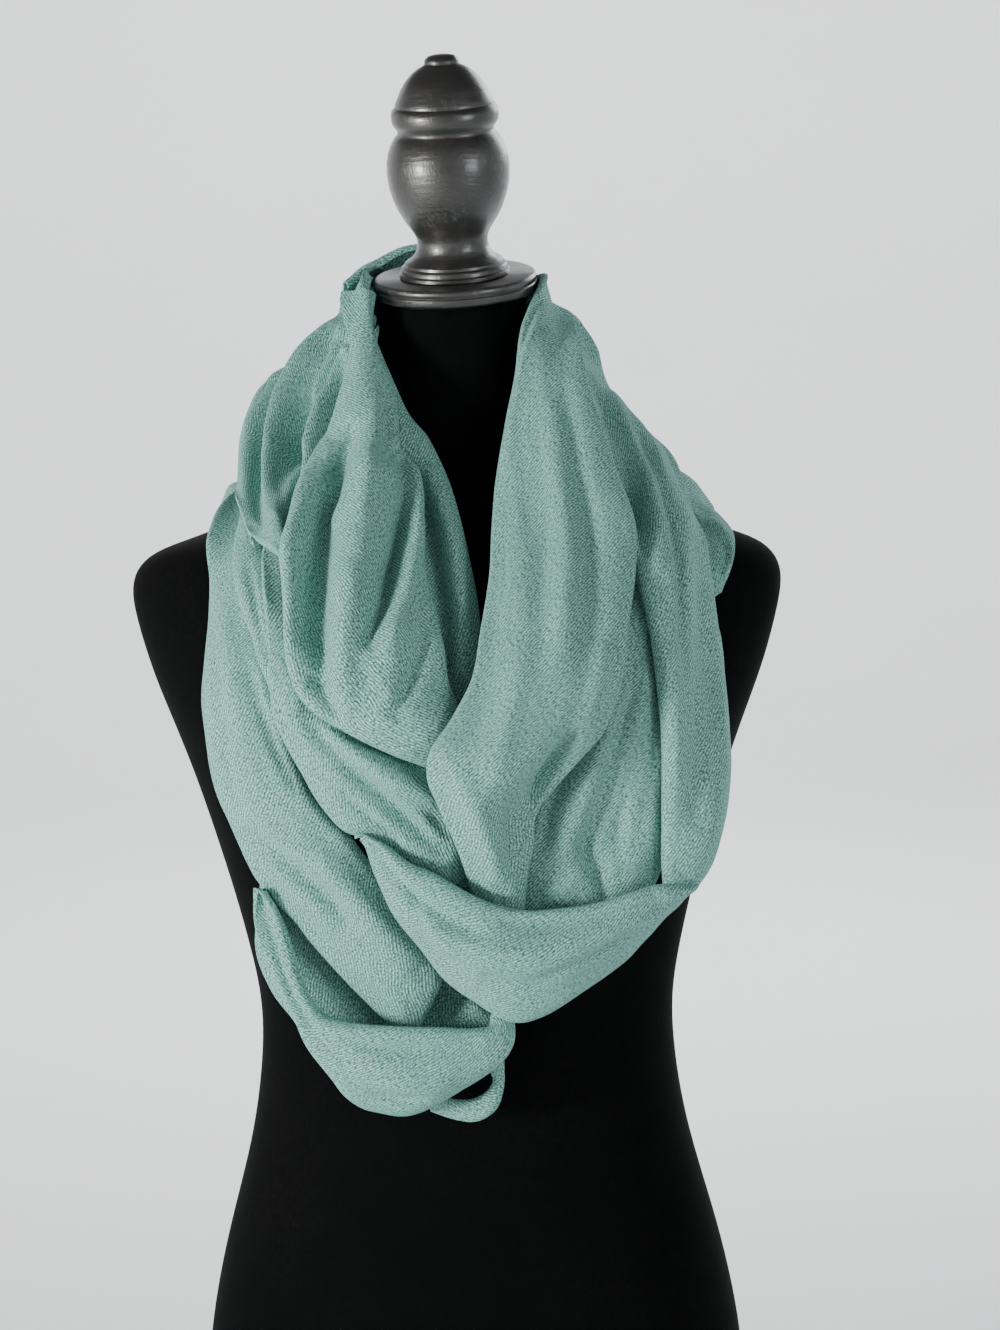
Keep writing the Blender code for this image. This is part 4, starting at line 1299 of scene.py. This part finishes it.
@dataclass
class Stretch:
    """One stretch of the scarf that shows, lofted along its table and laid on what is under it."""

    node: str
    rows: tuple[Row, ...]
    rolls: tuple[float, float]
    rests_on: tuple[str, ...]
    flat: tuple[float, float]
    area: float
    folds: tuple[Fold, ...] = ()
    creases: tuple[Crease, ...] = ()
    folded_end: bool = False

    wall = 1.2
    gap = 0.25
    step = 1.7
    arc_points = 8
    roll_degrees = 80
    sharp_degrees = 70
    wrinkle = 0.7
    broad_share = 1.4
    wrinkle_inset = 6
    ease_passes = 220
    crease_passes = 8
    end_roll = 3.0
    end_step = 1.6

    @property
    def name(self) -> str:
        """The name of the stretch's piece."""
        return f"scarf_{self.node}"

    def _places(self, table: np.ndarray) -> np.ndarray:
        """Places along the table, evenly spaced along the cloth.

        Args:
            table: The rows.

        Returns:
            The places, which count rows.
        """
        fine = np.linspace(0, len(table) - 1, 60 * len(table))
        rows = along_table(table, fine)
        edges = rows[:, 0:3], rows[:, 3:6]
        lengths = [np.linalg.norm(np.diff(edge, axis=0), axis=1) for edge in edges]
        reached = np.concatenate(([0], np.cumsum(np.mean(lengths, axis=0))))
        count = max(8, round(reached[-1] / self.step) + 1)
        return np.interp(np.linspace(0, reached[-1], count), reached, fine)

    def _section(self, width: float, crown: float, steps: int) -> tuple[np.ndarray, np.ndarray]:
        """One cross section, from edge a to edge b.

        Args:
            width: The distance between the edges.
            crown: How far the cloth rises between them.
            steps: How many points there are between the rolled edges.

        Returns:
            How far across each point is from the middle, and how far out.
        """
        half = width / 2
        rolls = [min(radius, half * 0.8) for radius in self.rolls]
        slope = math.atan(crown * math.pi / max(width - 0.9 * sum(rolls), 1.0))
        arcs = []
        for roll in rolls:
            angles = np.linspace(
                -math.radians(self.roll_degrees), math.pi / 2 - slope, self.arc_points
            )
            arcs.append((half - roll + roll * np.cos(angles), roll * np.sin(angles)))
        (across_a, out_a), (across_b, out_b) = arcs
        t = np.linspace(-1, 1, steps + 2)[1:-1]
        share = (t + 1) / 2
        middle = -across_a[-1] + share * (across_b[-1] + across_a[-1])
        rise = out_a[-1] * (1 - share) + out_b[-1] * share + crown * np.cos(np.pi * t / 2)
        return (
            np.concatenate((-across_a, middle, across_b[::-1])),
            np.concatenate((out_a, rise, out_b[::-1])),
        )

    def _grid(self) -> tuple[np.ndarray, np.ndarray, np.ndarray, np.ndarray]:
        """The stretch before it is laid.

        Returns:
            Lines of points across the cloth, the direction out at each, and each point's distance
            along and across the cloth.
        """
        table = np.array(self.rows, float)
        places = self._places(table)
        rows = along_table(table, places)
        ahead = along_table(table, np.minimum(places + 0.1, len(table) - 1))
        behind = along_table(table, np.maximum(places - 0.1, 0))
        edge_a, edge_b = rows[:, 0:3], rows[:, 3:6]
        middle = (edge_a + edge_b) / 2
        forward = (ahead[:, 0:3] + ahead[:, 3:6]) - (behind[:, 0:3] + behind[:, 3:6])
        widths = np.linalg.norm(edge_b - edge_a, axis=1)
        sideways = unit(edge_b - edge_a)
        out = unit(np.cross(sideways, forward))
        inward = np.sum(out[:, :2] * middle[:, :2], axis=1) < 0
        out[inward] *= -1
        steps = max(4, round(widths.max() / self.step))
        points, outs, across = [], [], []
        for index, width in enumerate(widths):
            aside, rise = self._section(width, rows[index, 6], steps)
            share = 0.5 + aside / width
            along = places[index] / (len(table) - 1)
            rise = rise + self._folds_at(along, share, width)
            points.append(
                middle[index] + sideways[index] * aside[:, None] + out[index] * rise[:, None]
            )
            tilt = 2 * aside / width * math.atan(rows[index, 6] * math.pi / width)
            outs.append(
                out[index] * np.cos(tilt)[:, None] + sideways[index] * np.sin(tilt)[:, None]
            )
            across.append(aside)
        points, outs, across = np.array(points), np.array(outs), np.array(across)
        run = np.concatenate(([0], np.cumsum(np.linalg.norm(np.diff(middle, axis=0), axis=1))))
        return points, outs, np.repeat(run[:, None], points.shape[1], axis=1), across

    def _folds_at(self, along: float, share: np.ndarray, width: float) -> np.ndarray:
        """How far the folds move one line of points.

        Args:
            along: The line's share of the way along the stretch.
            share: Each point's share of the way across.
            width: The stretch's width there, in millimetres.

        Returns:
            The move out of the cloth, in millimetres.
        """
        total = np.zeros(share.shape)
        for fold in self.folds:
            reached = (along - fold.from_along) / (fold.to_along - fold.from_along)
            if 0 < reached < 1:
                line = fold.from_across + reached * (fold.to_across - fold.from_across)
                away = (share - line) * width / fold.half_width
                total += fold.lift * math.sin(math.pi * reached) ** 0.7 * np.exp(-(away**2))
        return total

    def _creases(self, points: np.ndarray, outs: np.ndarray) -> np.ndarray:
        """How far the creases that are seen from the front move each point."""
        total = np.zeros(points.shape[:2])
        for crease in self.creases:
            total += crease_lift(crease, points[:, :, 0], points[:, :, 2])
        return total * np.clip(0.6 - outs[:, :, 1] * 2, 0, 1)

    def _laid(
        self, points: np.ndarray, outs: np.ndarray, drape: Drape, passes: int
    ) -> np.ndarray:
        """The points moved out until the cloth lies clear of what is under it."""
        needed = drape.needed(points, outs, self.wall + self.gap)
        arc = self.arc_points
        needed[:, :arc] = needed[:, :arc].max(axis=1, keepdims=True)
        needed[:, -arc:] = needed[:, -arc:].max(axis=1, keepdims=True)
        lifts = blurred(widened(eased(needed, passes), 1), 2)
        return points + outs * lifts[:, :, None]

    def _with_folded_end(
        self, points: np.ndarray, outs: np.ndarray, along: np.ndarray, across: np.ndarray
    ) -> tuple[np.ndarray, np.ndarray, np.ndarray, np.ndarray]:
        """The grid with its last line turned in under the cloth, where the stretch ends so."""
        if not self.folded_end:
            return points, outs, along, across
        ahead = unit(points[-1] - points[-2])
        lines = []
        for degrees in (30, 60, 90, 120, 150):
            angle = math.radians(degrees)
            reach, drop = self.end_roll * math.sin(angle), self.end_roll * (1 - math.cos(angle))
            lines.append(points[-1] + ahead * reach - outs[-1] * drop)
        count = len(lines)
        further = along[-1][None] + np.arange(1, count + 1)[:, None] * self.end_step
        return (
            np.concatenate((points, lines)),
            np.concatenate((outs, np.repeat(outs[-1:], count, axis=0))),
            np.concatenate((along, further)),
            np.concatenate((across, np.repeat(across[-1:], count, axis=0))),
        )

    def build(self, drape: Drape, material: bpy.types.Material, seed: int) -> bpy.types.Object:
        """Makes the stretch, lays it, and adds it to what the next one lies on.

        Args:
            drape: What it lies on.
            material: The cloth.
            seed: The number that its fine wrinkles come from.

        Returns:
            The finished piece.
        """
        points, outs, along, across = self._with_folded_end(*self._grid())
        rng = np.random.default_rng(seed)
        fine = ripples(rng, along, across, 46, 11) + 0.6 * ripples(rng, along, across, 19, 6)
        broad = ripples(rng, along, across, 80, 26)
        inner = np.minimum(1, np.minimum(*self._edge_distances(points)) / self.wrinkle_inset)
        points = self._laid(points, outs, drape, self.ease_passes)
        move = (fine * self.wrinkle + broad * self.wrinkle * self.broad_share) * inner
        move = move + self._creases(points, outs)
        points = self._laid(points + outs * move[:, :, None], outs, drape, self.crease_passes)
        points = blurred(points, 1)
        made = self._mesh(points, outs, along, drape)
        finish_piece(made, material, self.sharp_degrees)
        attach(made, "root")
        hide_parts(self.node)
        report(made)
        return made

    @staticmethod
    def _edge_distances(points: np.ndarray) -> tuple[np.ndarray, np.ndarray]:
        """How far each point is along the cloth from edge a and from edge b."""
        steps = np.linalg.norm(np.diff(points, axis=1), axis=2)
        reached = np.concatenate((np.zeros((len(points), 1)), np.cumsum(steps, axis=1)), axis=1)
        return reached, reached[:, -1:] - reached

    def _mesh(
        self, points: np.ndarray, outs: np.ndarray, along: np.ndarray, drape: Drape
    ) -> bpy.types.Object:
        """Makes the wall from the laid points.

        Args:
            points: The outer side of the cloth.
            outs: The direction out at each point.
            along: Each point's distance along the cloth.
            drape: What the next stretch lies on, which gets this one's outer side.

        Returns:
            The wall, with a map of the cloth in metres.
        """
        rows, columns = points.shape[:2]
        corner = (np.arange(rows - 1)[:, None] * columns + np.arange(columns - 1)).ravel()
        faces = np.stack((corner, corner + 1, corner + 1 + columns, corner + columns), axis=1)
        first, second = np.diff(points, axis=1)[:-1], np.diff(points, axis=0)[:, :-1]
        facing = np.sum(np.cross(first, second) * outs[:-1, :-1])
        if facing < 0:
            faces = faces[:, ::-1]
        flat = points.reshape(-1, 3)
        drape.add(flat.tolist(), faces.tolist())
        mesh = bpy.data.meshes.new(self.name)
        mesh.from_pydata((flat * MM).tolist(), [], faces.tolist())
        reached, _ = self._edge_distances(points)
        places = np.stack((reached.ravel(), along.ravel()), axis=1) * MM
        layer = mesh.uv_layers.new(name=CLOTH_MAP)
        layer.data.foreach_set("uv", places[faces.ravel()].ravel())
        made = bpy.data.objects.new(self.name, mesh)
        bpy.context.scene.collection.objects.link(made)
        apply_modifier(made, "SOLIDIFY", thickness=self.wall * MM, offset=-1, use_rim=True)
        return made



# From the innermost stretch to the outermost, so that each is laid over those before it.
SCARF = (
    Stretch(
        node="inner_fall_left",
        rows=INNER_FALL_LEFT,
        folds=INNER_FALL_LEFT_FOLDS,
        creases=CREASES_INNER_FALL_LEFT,
        rolls=(5, 5),
        rests_on=("velvet_torso",),
        flat=(0.068, 0.264),
        area=0.0129,
    ),
    Stretch(
        node="back_drape",
        rows=BACK_DRAPE,
        folds=BACK_DRAPE_FOLDS,
        rolls=(5, 5),
        rests_on=("velvet_torso",),
        flat=(0.150, 0.382),
        area=0.0411,
    ),
    Stretch(
        node="pouch_back",
        rows=POUCH_BACK,
        rolls=(5, 5),
        rests_on=("velvet_torso",),
        flat=(0.109, 0.153),
        area=0.0130,
    ),
    Stretch(
        node="left_outer_band",
        rows=LEFT_OUTER_BAND,
        folds=LEFT_OUTER_FOLDS,
        creases=CREASES_LEFT_OUTER_BAND,
        rolls=(7, 7),
        rests_on=("velvet_torso", "scarf_pouch_back"),
        flat=(0.108, 0.400),
        area=0.0303,
    ),
    Stretch(
        node="nape_wrap",
        rows=NAPE_WRAP,
        folds=NAPE_WRAP_FOLDS,
        rolls=(4, 4),
        rests_on=("velvet_torso", "scarf_back_drape"),
        flat=(0.156, 0.259),
        area=0.0355,
    ),
    Stretch(
        node="left_side_tuck",
        rows=LEFT_SIDE_TUCK,
        creases=CREASES_LEFT_SIDE_TUCK,
        rolls=(4, 4),
        rests_on=("scarf_left_outer_band",),
        flat=(0.042, 0.137),
        area=0.0042,
    ),
    Stretch(
        node="right_shoulder_flap",
        rows=RIGHT_SHOULDER_FLAP,
        creases=CREASES_RIGHT_SHOULDER_FLAP,
        rolls=(1.6, 1.6),
        rests_on=("velvet_torso",),
        flat=(0.050, 0.134),
        area=0.0047,
    ),
    Stretch(
        node="left_middle_band",
        rows=LEFT_MIDDLE_BAND,
        folds=LEFT_MIDDLE_FOLDS,
        creases=CREASES_LEFT_MIDDLE_BAND,
        rolls=(6, 6),
        rests_on=("scarf_left_outer_band", "scarf_inner_fall_left"),
        flat=(0.103, 0.268),
        area=0.0153,
    ),
    Stretch(
        node="inner_fall_right",
        rows=INNER_FALL_RIGHT,
        folds=INNER_FALL_RIGHT_FOLDS,
        creases=CREASES_INNER_FALL_RIGHT,
        rolls=(6, 6),
        rests_on=("velvet_torso",),
        flat=(0.112, 0.217),
        area=0.0180,
    ),
    Stretch(
        node="right_outer_fall",
        rows=RIGHT_OUTER_FALL,
        folds=RIGHT_OUTER_FOLDS,
        creases=CREASES_RIGHT_OUTER_FALL,
        rolls=(6, 7),
        rests_on=("scarf_inner_fall_right", "scarf_right_shoulder_flap"),
        flat=(0.131, 0.369),
        area=0.0340,
    ),
    Stretch(
        node="left_shoulder_pleats",
        rows=LEFT_SHOULDER_PLEATS,
        folds=LEFT_SHOULDER_FOLDS,
        creases=CREASES_LEFT_SHOULDER_PLEATS,
        rolls=(4, 4),
        rests_on=("scarf_left_outer_band", "scarf_left_side_tuck"),
        flat=(0.169, 0.242),
        area=0.0247,
        folded_end=True,
    ),
    Stretch(
        node="left_cowl",
        rows=LEFT_COWL,
        folds=LEFT_COWL_FOLDS,
        creases=CREASES_LEFT_COWL,
        rolls=(6, 6),
        rests_on=("scarf_left_middle_band", "scarf_left_shoulder_pleats"),
        flat=(0.143, 0.339),
        area=0.0295,
    ),
    Stretch(
        node="right_front_fall",
        rows=RIGHT_FRONT_FALL,
        folds=RIGHT_FRONT_FOLDS,
        creases=CREASES_RIGHT_FRONT_FALL,
        rolls=(3, 5),
        rests_on=("scarf_right_outer_fall", "scarf_left_cowl"),
        flat=(0.110, 0.646),
        area=0.0509,
    ),
    Stretch(
        node="pouch_twist",
        rows=POUCH_TWIST,
        rolls=(3, 3),
        rests_on=("scarf_pouch_back",),
        flat=(0.025, 0.077),
        area=0.0016,
    ),
    Stretch(
        node="bottom_pouch",
        rows=BOTTOM_POUCH,
        folds=BOTTOM_POUCH_FOLDS,
        creases=CREASES_BOTTOM_POUCH,
        rolls=(6, 6),
        rests_on=("scarf_left_outer_band", "scarf_pouch_twist"),
        flat=(0.095, 0.240),
        area=0.0127,
    ),
    Stretch(
        node="front_swag",
        rows=FRONT_SWAG,
        folds=FRONT_SWAG_FOLDS,
        creases=CREASES_FRONT_SWAG,
        rolls=(6, 6),
        rests_on=("scarf_right_front_fall", "scarf_left_middle_band"),
        flat=(0.106, 0.232),
        area=0.0160,
    ),
)


class Lamp(NamedTuple):
    """A soft square light: its place and target in metres, its side, its power and its colour."""

    name: str
    place: Place
    target: Place
    size: float
    watts: float
    colour: Place


LAMPS = (
    Lamp("key", (-2.15, -1.6, 0.66), (0.0, -0.05, 0.62), 0.5, 96, (1.0, 0.99, 0.96)),
    Lamp("fill", (2.0, -1.9, 0.9), (0.0, 0.0, 0.6), 0.8, 18, (0.92, 0.96, 1.0)),
    Lamp("rim", (1.3, 1.9, 1.9), (0.0, 0.0, 0.7), 1.2, 20, (0.95, 0.98, 1.0)),
    Lamp("paper", (0.0, 1.3, 2.7), (0.0, 4.4, 0.4), 1.6, 130, (0.97, 0.98, 1.0)),
)


@dataclass
class Studio:
    """The plain pale ground, the soft lights and the camera."""

    camera_place: Place = (0.024, -1.39895, 0.77939)
    camera_pitch_degrees: float = 6.5
    camera_roll_degrees: float = 1.3
    sensor: float = 36.0
    lens: float = 36.0 * 2400 / 1330
    wall_radius: float = 4.6
    wall_height: float = 3.4
    cove_radius: float = 1.4
    wall_sides: int = 128
    cove_steps: int = 12
    air_colour: Colour = (0.95, 0.97, 1.0, 1)
    air_strength: float = 0.13

    def build(self) -> None:
        """Makes the ground, the lights and the camera."""
        self._ground()
        for lamp in LAMPS:
            self._light(lamp)
        world = bpy.data.worlds.new("studio_air")
        world.use_nodes = True
        background = world.node_tree.nodes["Background"].inputs
        background["Color"].default_value = self.air_colour
        background["Strength"].default_value = self.air_strength
        bpy.context.scene.world = world
        self._camera()

    def _ground(self) -> None:
        """Makes the round paper floor, which curves up into a low wall all round."""
        bpy.ops.object.select_all(action="DESELECT")
        bpy.ops.mesh.primitive_circle_add(
            vertices=self.wall_sides,
            radius=self.wall_radius,
            fill_type="NOTHING",
            location=(0, 0, self.wall_height),
        )
        ground = bpy.context.object
        ground.name = "paper_ground"
        bpy.ops.object.mode_set(mode="EDIT")
        fall = self.cove_radius - self.wall_height
        bpy.ops.mesh.extrude_region_move(TRANSFORM_OT_translate={"value": (0, 0, fall)})
        flat, radius = self.wall_radius - self.cove_radius, self.wall_radius
        for step in range(self.cove_steps):
            above, below = (math.pi / 2 * s / self.cove_steps for s in (step, step + 1))
            drop = self.cove_radius * (math.sin(above) - math.sin(below))
            bpy.ops.mesh.extrude_region_move(TRANSFORM_OT_translate={"value": (0, 0, drop)})
            next_radius = flat + self.cove_radius * math.cos(below)
            share = next_radius / radius
            bpy.ops.transform.resize(value=(share, share, 1))
            radius = next_radius
        bpy.ops.mesh.edge_face_add()
        bpy.ops.mesh.select_all(action="SELECT")
        bpy.ops.mesh.normals_make_consistent(inside=True)
        bpy.ops.object.mode_set(mode="OBJECT")
        finish_piece(ground, PlainGround().make(), 60)

    @staticmethod
    def _light(lamp: Lamp) -> None:
        """Hangs one soft square light.

        Args:
            lamp: What the light is and where it hangs.
        """
        light = bpy.data.lights.new(lamp.name, "AREA")
        light.size, light.energy, light.color = lamp.size, lamp.watts, lamp.colour
        made = bpy.data.objects.new(lamp.name, light)
        made.location = lamp.place
        aim = Vector(lamp.target) - Vector(lamp.place)
        made.rotation_euler = aim.to_track_quat("-Z", "Y").to_euler()
        bpy.context.scene.collection.objects.link(made)

    def _camera(self) -> None:
        """Places the camera a little above the chest, tipped down."""
        lens = bpy.data.cameras.new("camera")
        lens.sensor_fit = "VERTICAL"
        lens.sensor_height = self.sensor
        lens.lens = self.lens
        camera = bpy.data.objects.new("camera", lens)
        turn = Matrix.Rotation(math.radians(90 - self.camera_pitch_degrees), 3, "X")
        turn = turn @ Matrix.Rotation(math.radians(-self.camera_roll_degrees), 3, "Z")
        camera.location = self.camera_place
        camera.rotation_euler = turn.to_euler()
        bpy.context.scene.collection.objects.link(camera)
        bpy.context.scene.camera = camera


def main() -> None:
    """Builds the studio, the dress form and the scarf, from the inside outwards."""
    logging.basicConfig(level=logging.INFO, format="%(name)s: %(message)s")
    Studio().build()
    carriers = DressForm().build()
    drape = Drape()
    for carrier in carriers:
        drape.add_piece(carrier)
    cloth = MelangeCloth().make()
    for number, stretch in enumerate(SCARF):
        stretch.build(drape, cloth, number)


if __name__ == "__main__":
    main()
